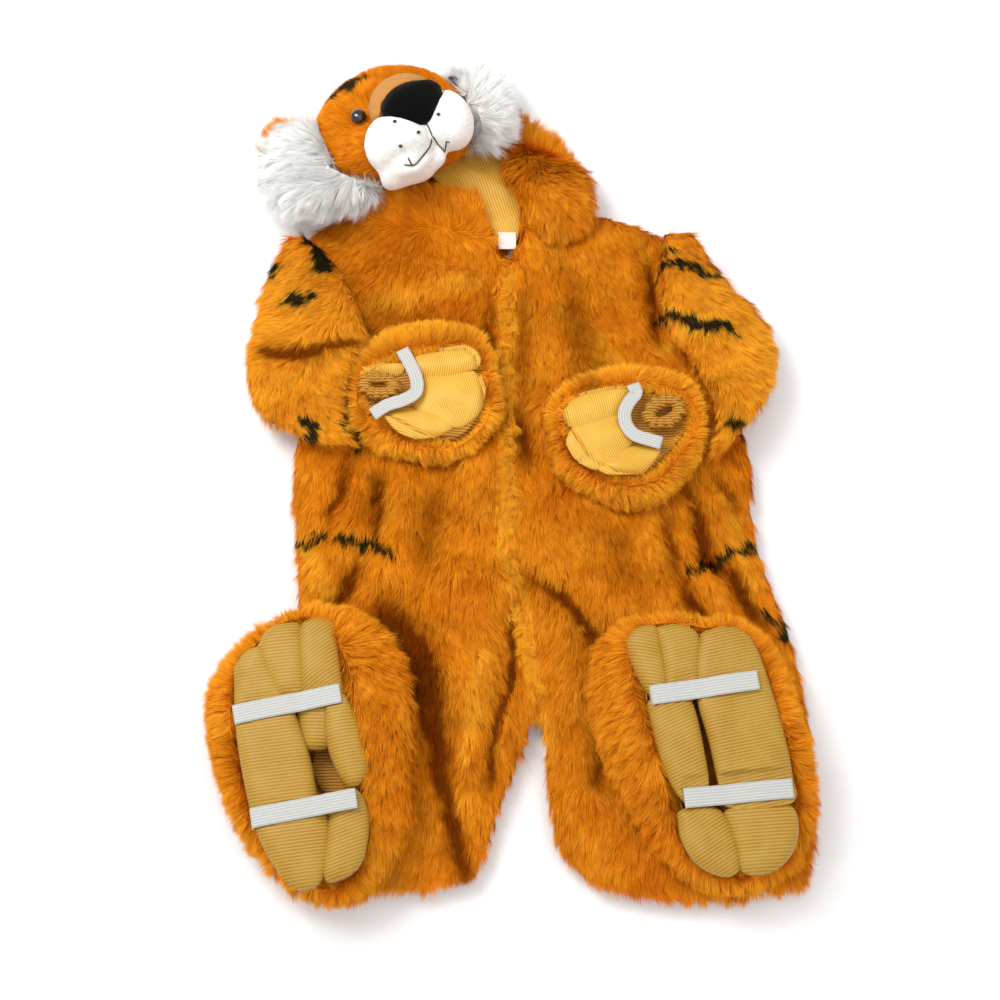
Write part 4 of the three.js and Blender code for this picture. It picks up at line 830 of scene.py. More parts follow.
def plush_tints(points, rng, pale=0.0, creases=()):
    """Root, middle and tip colours of orange plush, with its stripes, painted golden highlights, and
    painted shade in creases and at the roots.
    """
    fur = bpy.context.scene.costume_fur
    deep, body, gold, stripe = (
        np.array(c) for c in (fur.deep, fur.body, fur.gold, fur.stripe))
    cloud = soft_noise(points, 0.05, 31)
    patch = soft_noise(points, 0.016, 32)
    streak = soft_noise(points, 0.0045, 33)
    golden = 0.24 + 0.24 * patch + 0.22 * cloud + 0.24 * streak + pale
    # The golden strokes are painted highlights.
    golden = golden + 0.7 * np.sqrt(stroke_mask(points, GOLD_HIGHLIGHTS, 6))
    # Painted shade: the pile darkens in the creases' troughs, more in green and blue so that it reddens;
    # their ridges turn it golden as painted highlight.
    shade = np.zeros(len(points))
    for depth, share in in_creases(points, creases):
        shade += np.maximum(-depth / 7, 0) * share
        golden = golden + np.maximum(depth / 40, 0) * share
    shade = (1 - 0.72 * np.clip(shade, 0, 1) ** 1.3)[:, None] ** np.array([1, 1.35, 2])
    golden = np.clip(golden + rng.normal(0, 0.1, len(points)), 0, 1)[:, None] * shade[:, :1]
    bright = (1 + rng.normal(0, 0.07, len(points)) + 0.06 * patch + 0.12 * streak
              + 0.09 * soft_noise(points, 0.03, 34))[:, None] * shade
    hot = body * np.array([0.93, 0.78, 0.6]) ** np.clip(-1.4 * cloud, 0, 1)[:, None]
    # The roots lean to the deep colour as painted shade among the hairs.
    root = (deep * (1 - golden) + hot * golden) * bright
    middle = (hot * (1 - 0.7 * golden) + gold * 0.7 * golden) * bright
    tip = (hot * 0.75 + gold * 0.25) * (1 - golden) + gold * golden
    tip = tip * bright
    stripes = stroke_mask(points, STRIPES, 7)
    dark = (stripes > 0) & (stripes + rng.normal(0, 0.1, len(points)) > 0.13)
    # In the stripes the roots are darker than the middle too, as painted shade.
    for tint, share in ((root, 0.8), (middle, 1.0), (tip, 1.5)):
        tint[dark] = stripe * share * bright[dark]
    return root, middle, tip


def pale_near(nodes, base, extra, reach):
    """Plush tints that are golden all over by base and more so near some nodes."""
    return lambda points, rng: plush_tints(
        points, rng, base + extra * closeness(points, nodes, reach))


def white_tints(points, rng, shadow="f6f6f3", body="fffffc"):
    """Root, middle and tip colours of long white fur with a cool painted shade at its roots."""
    low, high = np.array(linear(shadow)), np.array(linear(body))
    bright = (1 + rng.normal(0, 0.05, len(points)))[:, None]
    return low * bright, (low * 0.25 + high * 0.75) * bright, high * bright


def ear_tints(points, rng):
    """White fluff with orange and dark fur round the ear's outer edge."""
    white, orange = white_tints(points, rng), plush_tints(points, rng, 0.2)
    edge = np.clip((-0.234 - points[:, 0]) / 0.004, 0, 1)
    edge = edge + np.clip((points[:, 1] - 0.410) / 0.003, 0, 1)
    outer = (edge + rng.normal(0, 0.15, len(points)) > 0.5)[:, None]
    return tuple(np.where(outer, b, a) for a, b in zip(white, orange))


def flat_tints(code, tip_code):
    """Tints of a plain short pile."""
    def tints(points, rng):
        bright = (1 + rng.normal(0, 0.05, len(points)))[:, None]
        body, tip = np.array(linear(code)), np.array(linear(tip_code))
        # The roots are a fifth darker as painted shade.
        return body * 0.8 * bright, body * bright, tip * bright
    return tints


def write_colours(mesh, colours):
    layer = mesh.color_attributes.new("pile_colour", "FLOAT_COLOR", "POINT")
    full = np.ones((len(colours), 4))
    full[:, :3] = np.clip(colours, 0, 1)
    layer.data.foreach_set("color", full.ravel())


def tufts(points, size, seed):
    """The tuft that each hair belongs to, as a number from 0."""
    warp = np.column_stack([soft_noise(points, size * 1.7, seed + k) for k in range(3)])
    cell = np.floor((points + warp * size * 0.8) / size).astype(np.int64)
    return np.unique(cell, axis=0, return_inverse=True)[1].ravel()


def grow_pile(name, cloth, tints, *, length, density, lift, clump, comb, width=None, own=(),
              spread=9, gather=0.22, slot="plush_fur", only=None, rim=()):
    """Pile on a cloth's open faces: flat tapered hairs, combed, gathered into tufts and tinted.

    spread is how far the tufts stray in degrees and gather how far their tips draw together.
    Hairs near the nodes of rim stand up and lean over them."""
    fur = bpy.context.scene.costume_fur
    rng = np.random.default_rng(fur.seed + sum(map(ord, name)))
    mesh = cloth.data
    corners, areas = bare_faces(mesh, own or (cloth.name,))
    points, normals = places_of(mesh), normals_of(mesh)
    if only is not None:
        chosen = only(points[corners].mean(axis=1))
        corners, areas = corners[chosen], areas[chosen]
    count = int(areas.sum() * 1e6 * density * fur.hair_density)
    ends = np.cumsum(areas)
    face = corners[np.minimum(np.searchsorted(ends, rng.random(count) * ends[-1]), len(ends) - 1)]
    u, v = rng.random(count), rng.random(count)
    u, v = np.where(u + v > 1, 1 - u, u), np.where(u + v > 1, 1 - v, v)
    shares = np.column_stack([1 - u - v, u, v])[:, :, None]
    root = (points[face] * shares).sum(axis=1)
    normal = (normals[face] * shares).sum(axis=1)
    normal /= np.linalg.norm(normal, axis=1)[:, None]

    tuft = tufts(root, clump * MM, fur.seed)
    tuft_count = tuft.max() + 1
    stray = rng.normal(0, spread, tuft_count)[tuft] + rng.normal(0, 6, count)
    stray += 24 * soft_noise(root, 0.055, 41) + 22 * soft_noise(root, 0.018, 42)
    near = closeness(root, rim, RIM_REACH) if rim else np.zeros(count)
    flow = heading_field(root, comb) * (1 - 1.9 * near)[:, None]
    turn = np.radians(stray)
    flow = np.column_stack([
        flow[:, 0] * np.cos(turn) - flow[:, 1] * np.sin(turn),
        flow[:, 0] * np.sin(turn) + flow[:, 1] * np.cos(turn),
        np.full(count, -0.12),
    ])
    along = flow - (flow * normal).sum(axis=1)[:, None] * normal
    along /= np.maximum(np.linalg.norm(along, axis=1), 1e-6)[:, None]
    reach = length * MM * fur.hair_length
    reach = reach * (0.85 + 0.25 * rng.random(tuft_count))[tuft] * (0.75 + 0.4 * rng.random(count))
    rise = lift * (0.85 + 0.3 * rng.random(tuft_count)[tuft] + 0.3 * soft_noise(root, 0.014, 43))
    rise += rng.normal(0, 5, count) + 40 * near

    angle = np.radians(np.clip(rise * 0.9, 2, 88))[:, None]
    tip = root + (np.cos(angle) * along + np.sin(angle) * normal) * reach[:, None]
    tuft_tip = np.column_stack([
        np.bincount(tuft, tip[:, k], tuft_count) / np.bincount(tuft, minlength=tuft_count)
        for k in range(3)
    ])[tuft]
    tip = tip + (tuft_tip - tip) * gather
    side = np.cross(along, normal)
    roll = rng.normal(0, 0.45, count)[:, None]
    side = side * np.cos(roll) + normal * np.sin(roll)
    half = (width or fur.hair_width) / 2 * (0.75 + 0.5 * rng.random(count))[:, None]

    verts = np.stack([root - side * half, root + side * half, tip], axis=1).reshape(-1, 3)
    verts[:, 2] = np.maximum(verts[:, 2], 0.4 * MM)
    made = bpy.data.meshes.new(name)
    made.vertices.add(3 * count)
    made.vertices.foreach_set("co", verts.ravel())
    made.loops.add(3 * count)
    made.loops.foreach_set("vertex_index", np.arange(3 * count, dtype=np.int32))
    made.polygons.add(count)
    made.polygons.foreach_set("loop_start", np.arange(0, 3 * count, 3, dtype=np.int32))
    made.update(calc_edges=True)
    low, middle, high = tints(root, rng)
    # Each hair's root corners lean to the darker root tint, painted shade among the hairs.
    foot = 0.45 * low + 0.55 * middle
    write_colours(made, np.stack([foot, foot, high], axis=1).reshape(-1, 3))
    lay_out_bake(made, count)
    dress(made, "acrylic pile, " + slot, pile_look)
    shade_smooth(made)
    return new_piece(name, made, slot)


def lay_out_bake(mesh, count):
    """A map for baking that gives each hair a cell of its own, root to tip."""
    cells = math.ceil(math.sqrt(count))
    strand, corner = np.divmod(np.arange(3 * count), 3)
    across, up = np.array([0.12, 0.88, 0.5])[corner], np.array([0.1, 0.1, 0.9])[corner]
    spot = np.column_stack([(strand % cells + across) / cells, (strand // cells + up) / cells])
    layer = mesh.uv_layers.new(name="OFBake")
    layer.uv.foreach_set("vector", spot.astype(np.float32).ravel())


def fur_cloth(node, creases=(), soften=14, waves=0.0):
    """The cloth under the pile: the CAD solid made fine, softened, creased and pulled in."""
    piece = new_piece(node + "_cloth", merged_copy(node), "plush_fur", node)
    applied(piece, "REMESH", mode="VOXEL", voxel_size=FUR[node].get("grain", 5.2) * MM)
    smooth(piece.data, 3)
    smooth(piece.data, soften, heights_only=True)
    press_creases(piece.data, creases, waves)
    pull_in(piece.data, FUR[node]["pull"], own=(node,) if node.startswith("front") else None)
    points = places_of(piece.data)
    points[:, 2] = np.maximum(points[:, 2], 0.2 * MM)
    move_to(piece.data, points)
    return piece


def finish_cloth(piece, tints, name, look=backing_look):
    """Root colours and the backing material on a cloth."""
    mesh = piece.data
    root, middle, _ = tints(places_of(mesh), np.random.default_rng(3))
    # The cloth leans a quarter to the roots' darker tint, painted shade under the pile.
    write_colours(mesh, 0.25 * root + 0.75 * middle)
    dress(mesh, name, look)
    shade_smooth(mesh)


def furry(node, creases=(), soften=14, waves=0.0, tints=None, **changes):
    """A fur piece of the costume: its cloth and its pile."""
    # By default the tints take the creases, which darken the pile as painted shade.
    tints = tints or (lambda points, rng: plush_tints(points, rng, creases=creases))
    cloth = fur_cloth(node, creases, soften, waves)
    finish_cloth(cloth, tints, "knitted backing")
    spec = {k: v for k, v in FUR[node].items() if k not in ("pull", "grain")}
    spec.update(changes)
    pile = grow_pile(node + "_pile", cloth, tints, own=(node,), **spec)
    return cloth, pile


def softened(node, name, slot, voxel, rounds):
    """A padded piece on its CAD solid, fine and rounded."""
    piece = new_piece(name, merged_copy(node), slot, node)
    applied(piece, "REMESH", mode="VOXEL", voxel_size=voxel * MM)
    smooth(piece.data, rounds)
    shade_smooth(piece.data)
    return piece


def rib_stations(mesh, heading, pitch):
    """Sections of a closed mesh across a heading: for each station its rim, top and underside."""
    corners, points = triangles_of(mesh), places_of(mesh)
    along, across = directions(heading)
    s, t, z = points @ along, points @ across, points[:, 2]
    low, high = s.min() + 0.6 * MM, s.max() - 0.6 * MM
    count = max(int((high - low) / (pitch / 2)) | 1, 5)
    found = []
    for station in np.linspace(low, high, count):
        above = s[corners] > station
        crossed = corners[(above.sum(axis=1) % 3) > 0]
        ends = []
        for a, b in ((0, 1), (1, 2), (2, 0)):
            p, q = crossed[:, a], crossed[:, b]
            cuts = (s[p] > station) != (s[q] > station)
            share = np.where(cuts, (station - s[p]) / np.where(cuts, s[q] - s[p], 1), np.nan)
            ends.append(np.column_stack(
                [t[p] + (t[q] - t[p]) * share, z[p] + (z[q] - z[p]) * share]))
        ends = np.stack(ends, axis=1)
        order = np.argsort(np.isnan(ends[:, :, 0]), axis=1, kind="stable")[:, :2]
        segments = np.take_along_axis(ends, order[:, :, None], axis=1)
        found.append((station, segments))
    return along, across, found


def gather_cuff(mesh, heading):
    """Sharp pleats round a gathered cuff, whose hole is pinched to a slit along a heading."""
    points = places_of(mesh)
    middle = (points.min(axis=0) + points.max(axis=0)) / 2
    away = points - middle
    slit, lip = directions(heading)
    turn = np.arctan2(away @ lip, away @ slit)
    folds = np.abs(np.sin(6.5 * turn + 0.9 * np.sin(2 * turn))) + 0.4 * np.abs(np.sin(11 * turn))
    inner = np.clip(1 - np.hypot(away[:, 0], away[:, 1]) / (15 * MM), 0, 1)
    points -= np.outer((away @ lip) * 0.9 * inner, lip)
    points[:, 2] += np.where(away[:, 2] > 0, (2.4 * folds - 1.6 - 2 * inner) * MM, 0)
    points[:, :2] += away[:, :2] * (0.12 * (folds - 0.8))[:, None]
    move_to(mesh, points)


def ribbed_grid(bm, along, across, rows, height, puff=0.0):
    """Adds a closed ribbed form from rows of its station, places across, tops and undersides."""
    rib = bm.verts.layers.float["rib"]
    lateral = len(rows[0][1]) - 1
    for side in (1, -1):
        grid = new_grid(bm, lateral, len(rows) - 1)
        for row, (station, spots, tops, undersides) in enumerate(rows):
            edge = min(row, len(rows) - 1 - row, 3) / 3
            for column in range(lateral + 1):
                swell = math.sin(math.pi * column / lateral) if 0 < column < lateral else 0
                rise = (0.5 if row % 2 else -0.5) * height * swell ** 0.4 + puff * MM * swell
                z = tops[column] + rise * edge if side > 0 else undersides[column]
                vert = grid[row * (lateral + 1) + column]
                vert.co = Vector(along * station + across * spots[column]) + Vector((0, 0, z))
                # rib is 1 on the crests and 0 in the grooves, which the lining darkens as painted shade.
                vert[rib] = float(row % 2)


def finish_ribs(bm, mesh, shade=1.0):
    """Closes a ribbed form and writes it with the lining's material."""
    write_form(bm, mesh)
    # A shade below 1 gives the lining darkened as painted shade, in a material of its own.
    name = "ribbed tricot lining" + (", worn" if shade < 1 else "")
    dress(mesh, name, lambda tree: lining_look(tree, shade))


def spots_across(left, right, count, share=1.0):
    """Places across a section, closer together towards its edges."""
    turns = np.linspace(0, math.pi, count)
    return (left + right) / 2 - (right - left) / 2 * share * np.cos(turns)


def meet_at_ends(tops, undersides):
    """Brings the first and the last of the tops and undersides together."""
    for column in (0, -1):
        tops[column] = undersides[column] = (tops[column] + undersides[column]) / 2


def ribbed_padding(node, name, heading, lateral=16, voxel=3.0, rounds=6, puff=0.0):
    """Padded lining with ribs across a heading, on its CAD solid."""
    settings = bpy.context.scene.costume_lining
    form = softened(node, name, "ribbed_lining", voxel, rounds)
    along, across, found = rib_stations(form.data, heading, settings.rib_pitch * 1.1)
    rows = []
    for station, segments in found:
        left, right = segments[:, :, 0].min(), segments[:, :, 0].max()
        near = np.minimum(segments[:, 0, 0], segments[:, 1, 0])
        far = np.maximum(segments[:, 0, 0], segments[:, 1, 0])
        run = np.where(far - near < 1e-9, 1, segments[:, 1, 0] - segments[:, 0, 0])
        spots = spots_across(left, right, lateral + 1, 0.995)
        tops, undersides = np.empty(lateral + 1), np.empty(lateral + 1)
        for column, spot in enumerate(spots):
            spans = (near <= spot) & (far >= spot)
            if not spans.any():
                spans[np.abs(segments[:, 0, 0] - spot).argmin()] = True
            heights = segments[spans, 0, 1] + (segments[spans, 1, 1] - segments[spans, 0, 1]) * (
                (spot - segments[spans, 0, 0]) / run[spans])
            tops[column], undersides[column] = heights.max(), heights.min()
        meet_at_ends(tops, undersides)
        rows.append((station, spots, tops, undersides))
    bm = bmesh.new()
    bm.verts.layers.float.new("rib")
    ribbed_grid(bm, along, across, rows, settings.rib_height, puff)
    finish_ribs(bm, form.data)
    return form


def section_rows(section, surface, pitch, lateral=16, sink=3.4, crown=4.4, shoulder=12, deep=1.5,
                 outset=2.5, ceiling=lambda x, y: 1):
    """Rows of a padded section inside its outline, crowned over a surface that it is sunk in.

    surface gives a place's height and ceiling what it stays under, shoulder is how far in from
    the outline the crown is full, deep how thick the section is under it, and outset how far it
    reaches past its outline, under its neighbours and the fur."""
    along, across = directions(section["heading"])
    rim = curve_through(section["outline"] + section["outline"][:1], 160)[0] * MM
    run = np.roll(rim, -1, axis=0) - np.roll(rim, 1, axis=0)
    run /= np.maximum(np.linalg.norm(run, axis=1), 1e-9)[:, None]
    out = np.column_stack([run[:, 1], -run[:, 0]])
    if ((rim - rim.mean(axis=0)) * out).sum() < 0:
        out = -out
    rim = rim + out * outset * MM
    rim = np.vstack([rim, rim[:1]])
    s, t = rim @ along[:2], rim @ across[:2]
    low, high = s.min() + 0.5 * MM, s.max() - 0.5 * MM
    rows = []
    for station in np.linspace(low, high, int((high - low) / (pitch / 2)) | 1):
        cuts = np.flatnonzero((s[:-1] > station) != (s[1:] > station))
        share = (station - s[cuts]) / (s[cuts + 1] - s[cuts])
        ends = t[cuts] + (t[cuts + 1] - t[cuts]) * share
        spots = spots_across(ends.min(), ends.max(), lateral + 1)
        tops, undersides = np.empty(lateral + 1), np.empty(lateral + 1)
        for column, spot in enumerate(spots):
            place = along * station + across * spot
            base = surface(*place[:2])
            inside = np.hypot(*(rim - place[:2]).T).min() / (shoulder * MM)
            dome = crown * math.sqrt(1 - (1 - min(inside, 1)) ** 2)
            tops[column] = min(base + (dome - sink) * MM, ceiling(*place[:2]))
            undersides[column] = base - (sink + min(dome, deep)) * MM
        meet_at_ends(tops, undersides)
        rows.append((station, spots, tops, undersides))
    return along, across, rows


def place_on(tree, x, y):
    """The upper side of a mesh at a place in plan, or its nearest point beside it."""
    place = tree.ray_cast(Vector((x, y, 1)), DOWN)[0]
    return place or tree.find_nearest(Vector((x, y, 0.1)))[0]


def height_on(tree):
    return lambda x, y: place_on(tree, x, y).z


def under_elastics(nodes):
    """A ceiling under some elastics, which press into the padding that they cross."""
    trees = [tree_of(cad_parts[node].data) for node in nodes]

    def ceiling(x, y):
        lowest = 1.0
        for dx, dy in ((0, 0), (0, 5), (0, -5), (0, 10), (0, -10), (5, 0), (-5, 0)):
            for tree in trees:
                place = tree.ray_cast(Vector((x + dx * MM, y + dy * MM, 0)), UP)[0]
                if place:
                    lowest = min(lowest, place.z + (0.28 * (abs(dx) + abs(dy)) - 1.2) * MM)
        return lowest
    return ceiling


def mitt_sections(side, tree):
    """The padded sections sewn on a mitt's lining, each ribbed its own way."""
    settings = bpy.context.scene.costume_lining
    bm = bmesh.new()
    bm.verts.layers.float.new("rib")
    for section in MITT_SECTIONS[side]:
        along, across, rows = section_rows(section, height_on(tree), settings.rib_pitch * 0.85)
        ribbed_grid(bm, along, across, rows, settings.rib_height * 0.8)
    name = f"mitt_{side}_lining_sections"
    mesh = bpy.data.meshes.new(name)
    finish_ribs(bm, mesh)
    return new_piece(name, mesh, "ribbed_lining")


def foot_section(side, part):
    """The padded sections that stand for one roll of a foot cover's lining."""
    settings = bpy.context.scene.costume_lining
    bm = bmesh.new()
    bm.verts.layers.float.new("rib")
    ceiling = under_elastics([f"foot_{side}_elastic_{end}" for end in ("toe", "heel")])
    for section in FOOT_SECTIONS[side]:
        if section["node"] != part:
            continue
        low = section["crest"] * MM - 10 * MM
        along, across, rows = section_rows(
            section, lambda x, y: low + 1.2 * MM * math.sin(x * 55 + y * 38),
            settings.rib_pitch * 1.15, lateral=14, sink=0, crown=10, shoulder=15, deep=17,
            outset=3.2, ceiling=ceiling)
        ribbed_grid(bm, along, across, rows, settings.rib_height)
    node = f"foot_{side}_{part}"
    mesh = bpy.data.meshes.new(node + "_roll")
    # The rolls' lining is darkened to 0.6 as painted shade.
    finish_ribs(bm, mesh, 0.6)
    return new_piece(node + "_roll", mesh, "ribbed_lining", node)


def thread_along(bm, line, radius):
    """A round thread through a row of points."""
    grid = new_grid(bm, 6, len(line) - 1)
    for row, place in enumerate(line):
        run = line[min(row + 1, len(line) - 1)] - line[max(row - 1, 0)]
        run = run / np.linalg.norm(run)
        side = np.cross(run, (0, 0, 1))
        side /= np.linalg.norm(side)
        up = np.cross(side, run)
        thick = radius * MM * (0.45 if row in (0, len(line) - 1) else 1)
        for column in range(7):
            turn = math.pi * column / 3
            grid[row * 7 + column].co = Vector(
                place + thick * (side * math.cos(turn) + up * math.sin(turn)))


def draw_muzzle(piece):
    """Draws the chin in under the cheeks and fills the notch beside it."""
    mesh = piece.data
    points = places_of(mesh)
    x, y, dx, dy, reach = CHIN_DRAW
    away = np.hypot(points[:, 0] - x * MM, points[:, 1] - y * MM)
    share = np.exp(-(away / (reach * MM)) ** 2)
    points[:, :2] += share[:, None] * np.array([dx, dy]) * MM
    move_to(mesh, points)
    surface = height_on(tree_of(mesh))
    bm = bmesh.new()
    bm.from_mesh(mesh)
    for x, y, long, wide, tilt in CHIN_FILLS:
        place = Vector((x * MM, y * MM, surface(x * MM, y * MM) - 0.75 * wide * MM))
        bmesh.ops.create_uvsphere(
            bm, u_segments=24, v_segments=16, radius=1,
            matrix=Matrix.Translation(place) @ Matrix.Rotation(math.radians(tilt), 4, "Z")
            @ Matrix.Diagonal((long * MM, wide * MM, wide * MM, 1)))
    bm.to_mesh(mesh)
    bm.free()
    applied(piece, "REMESH", mode="VOXEL", voxel_size=2.6 * MM)
    smooth(piece.data, 10)


def muzzle_stitching(tree):
    """The mouth's stitched lines and the whisker knots on the muzzle."""
    def on_muzzle(x, y, above):
        return np.array(place_on(tree, x * MM, y * MM)) + (0, 0, above * MM)

    bm = bmesh.new()
    for places in MOUTH_LINES:
        line, _ = curve_through(places, 5 * len(places))
        thread_along(bm, [on_muzzle(x, y, 1.3) for x, y in line], 0.75)
    for x, y in WHISKER_KNOTS:
        place = on_muzzle(x, y, 1.5)
        bmesh.ops.create_uvsphere(
            bm, u_segments=12, v_segments=8, radius=2.1 * MM,
            matrix=Matrix.Translation(place) @ Matrix.Diagonal((1, 0.85, 0.6, 1)))
    mesh = bpy.data.meshes.new("muzzle_stitching")
    write_form(bm, mesh)
    dress(mesh, "embroidery thread", thread_look)
    return new_piece("muzzle_stitching", mesh, "black_velour")


def curve_through(places, count):
    """Points evenly along a smooth curve through places in plan."""
    rows = [np.array(p, dtype=float) for p in places]
    rows = [2 * rows[0] - rows[1]] + rows + [2 * rows[-1] - rows[-2]]
    fine = []
    for a, b, c, d in zip(rows, rows[1:], rows[2:], rows[3:]):
        for t in np.linspace(0, 1, 24, endpoint=False):
            fine.append(0.5 * (2 * b + (c - a) * t + (2 * a - 5 * b + 4 * c - d) * t * t
                               + (3 * b - a - 3 * c + d) * t ** 3))
    fine = np.array(fine + [rows[-2]])
    reach = np.concatenate([[0], np.cumsum(np.linalg.norm(np.diff(fine, axis=0), axis=1))])
    at = np.linspace(0, reach[-1], count)
    return np.column_stack([np.interp(at, reach, fine[:, k]) for k in (0, 1)]), reach[-1]


def elastic_band(node, width):
    """A woven elastic on its CAD band, with soft waves along its edges."""
    line, length = curve_through(ELASTIC_LINES[node], 3)
    count = int(length / 2.2)
    line, length = curve_through(ELASTIC_LINES[node], count + 1)
    tree = tree_of(merged_copy(node))
    bm = bmesh.new()
    uv = bm.loops.layers.uv.new("weave")
    grid = new_grid(bm, 8, count)
    lifts = []
    for x, y in line:
        hit = tree.ray_cast(Vector((x * MM, y * MM, 1)), DOWN)
        lifts.append(hit[0].z if hit[0] is not None else (lifts[-1] if lifts else 0.07))
    spots = {}
    for row in range(count + 1):
        before, after = line[max(row - 1, 0)], line[min(row + 1, count)]
        run = (after - before) / np.linalg.norm(after - before)
        side = np.array([-run[1], run[0]])
        for column in range(9):
            share = column / 4 - 1
            x, y = line[row] + side * share * width / 2
            ripple = 0.35 * abs(share) ** 3 * math.sin(row * 1.35 + (1.2 if share > 0 else 0))
            vert = grid[row * 9 + column]
            vert.co = (x * MM, y * MM, lifts[row] + (ripple - 0.2) * MM)
            spots[vert] = (share * width / 2, row * length / count)
    for face in bm.faces:
        for loop in face.loops:
            loop[uv].uv = spots[loop.vert]
    bmesh.ops.recalc_face_normals(bm, faces=bm.faces)
    if bm.faces[:][0].normal.z < 0:
        bmesh.ops.reverse_faces(bm, faces=bm.faces)
    mesh = bpy.data.meshes.new(node)
    bm.to_mesh(mesh)
    bm.free()
    piece = new_piece(node + "_webbing", mesh, "elastic_webbing", node)
    applied(piece, "SOLIDIFY", thickness=ELASTIC_THICKNESS * MM, offset=-1.0)
    dress(piece.data, "woven elastic", elastic_look)
    shade_smooth(piece.data)


# ------------------------------------------------------------------ operators, one for each group

class COSTUME_OT_body(bpy.types.Operator):
    """Make the back and front panels with their pile"""

    bl_idname = "costume.body"
    bl_label = "Body Panels"

    def execute(self, context):
        def beside_edge(points):
            away = [distance_to(points, *a, *b)[0] for a, b in zip(FRONT_EDGE, FRONT_EDGE[1:])]
            return np.minimum(*away) < FRONT_EDGE_REACH * MM

        for side in ("right", "left"):
            cloth, _ = furry("back_" + side, soften=4)
            cloth, _ = furry("front_" + side, creases=CREASES, waves=2.6)
            grow_pile(
                f"front_{side}_ridge_pile", cloth, pale_near((), 0.55, 0, 1), own=("front_" + side,),
                length=17, density=1.7, lift=34, clump=9, comb="ridge_" + side, spread=26,
                gather=0.35, only=beside_edge)
        dress(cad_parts["front_zip"].data, "polyester zip tape", tape_look)
        return {"FINISHED"}


class COSTUME_OT_sleeves(bpy.types.Operator):
    """Make both layers of each sleeve with their pile"""

    bl_idname = "costume.sleeves"
    bl_label = "Sleeves"

    def execute(self, context):
        for side in ("right", "left"):
            for layer in ("under", "over"):
                node = f"sleeve_{side}_{layer}"
                # The first two sleeve creases darken the pile's colours as painted shade.
                cloth, _ = furry(
                    node, creases=SLEEVE_CREASES, soften=10, waves=2.2,
                    tints=lambda points, rng: plush_tints(points, rng, 0.5, SLEEVE_CREASES[:2]))
        return {"FINISHED"}


class COSTUME_OT_mitts(bpy.types.Operator):
    """Make the mitts: fur, padded lining, gathered cuff and elastic"""

    bl_idname = "costume.mitts"
    bl_label = "Mitts"

    def execute(self, context):
        for side in ("right", "left"):
            node = f"mitt_{side}_lining"
            cloth, _ = furry(f"mitt_{side}_fur", soften=4, tints=pale_near((node,), 0.42, 0.35, 22),
                             rim=(node,))
            base = softened(node, node + "_cup", "ribbed_lining", 3.2, 4)
            mitt_sections(side, tree_of(base.data))
            pull_in(base.data, 3.6, 0.5)
            dress(base.data, "ribbed tricot, gathered", cup_lining_look)
            cuff = softened(f"mitt_{side}_cuff", f"mitt_{side}_cuff_gathers", "ribbed_lining", 1.3, 3)
            gather_cuff(cuff.data, {"right": 0, "left": 30}[side])
            dress(cuff.data, "ribbed tricot, gathered", cup_lining_look)
            elastic_band(f"mitt_{side}_elastic", MITT_ELASTIC)
        return {"FINISHED"}


class COSTUME_OT_feet(bpy.types.Operator):
    """Make the foot covers: fur, lining, padded rolls and elastics"""

    bl_idname = "costume.feet"
    bl_label = "Foot Covers"

    def execute(self, context):
        for side in FOOT_SECTIONS:
            cloth, _ = furry(f"foot_{side}_fur", soften=4, waves=2,
                             tints=pale_near((f"foot_{side}_lining",), 0.1, 0.45, 24),
                             rim=(f"foot_{side}_lining",))
            node = f"foot_{side}_lining"
            cup = softened(node, node + "_cup", "ribbed_lining", 3.8, 2)
            dress(cup.data, "ribbed tricot, gathered", cup_lining_look)
            for part in dict.fromkeys(section["node"] for section in FOOT_SECTIONS[side]):
                foot_section(side, part)
            for end in ("toe", "heel"):
                elastic_band(f"foot_{side}_elastic_{end}", FOOT_ELASTIC)
        return {"FINISHED"}


class COSTUME_OT_hood(bpy.types.Operator):
    """Make the hood: fur back and side, ribbed lining and the neck label"""

    bl_idname = "costume.hood"
    bl_label = "Hood"

    def execute(self, context):
        cloth, _ = furry("hood_back", soften=4)
        side, _ = furry("hood_side_left", soften=4)
        lining = ribbed_padding("hood_lining", "hood_lining_cloth", 20,
                                lateral=40, voxel=2.2, rounds=3)
        label = new_piece("neck_label_ribbon", merged_copy("neck_label"), "label_ribbon", "neck_label")
        points = places_of(label.data)
        top = np.array([points[:, 0].mean(), points[:, 1].max()])
        points[:, :2] = top + (points[:, :2] - top) * LABEL_STRETCH
        move_to(label.data, points)
        dress(label.data, "satin ribbon", ribbon_look)
        return {"FINISHED"}


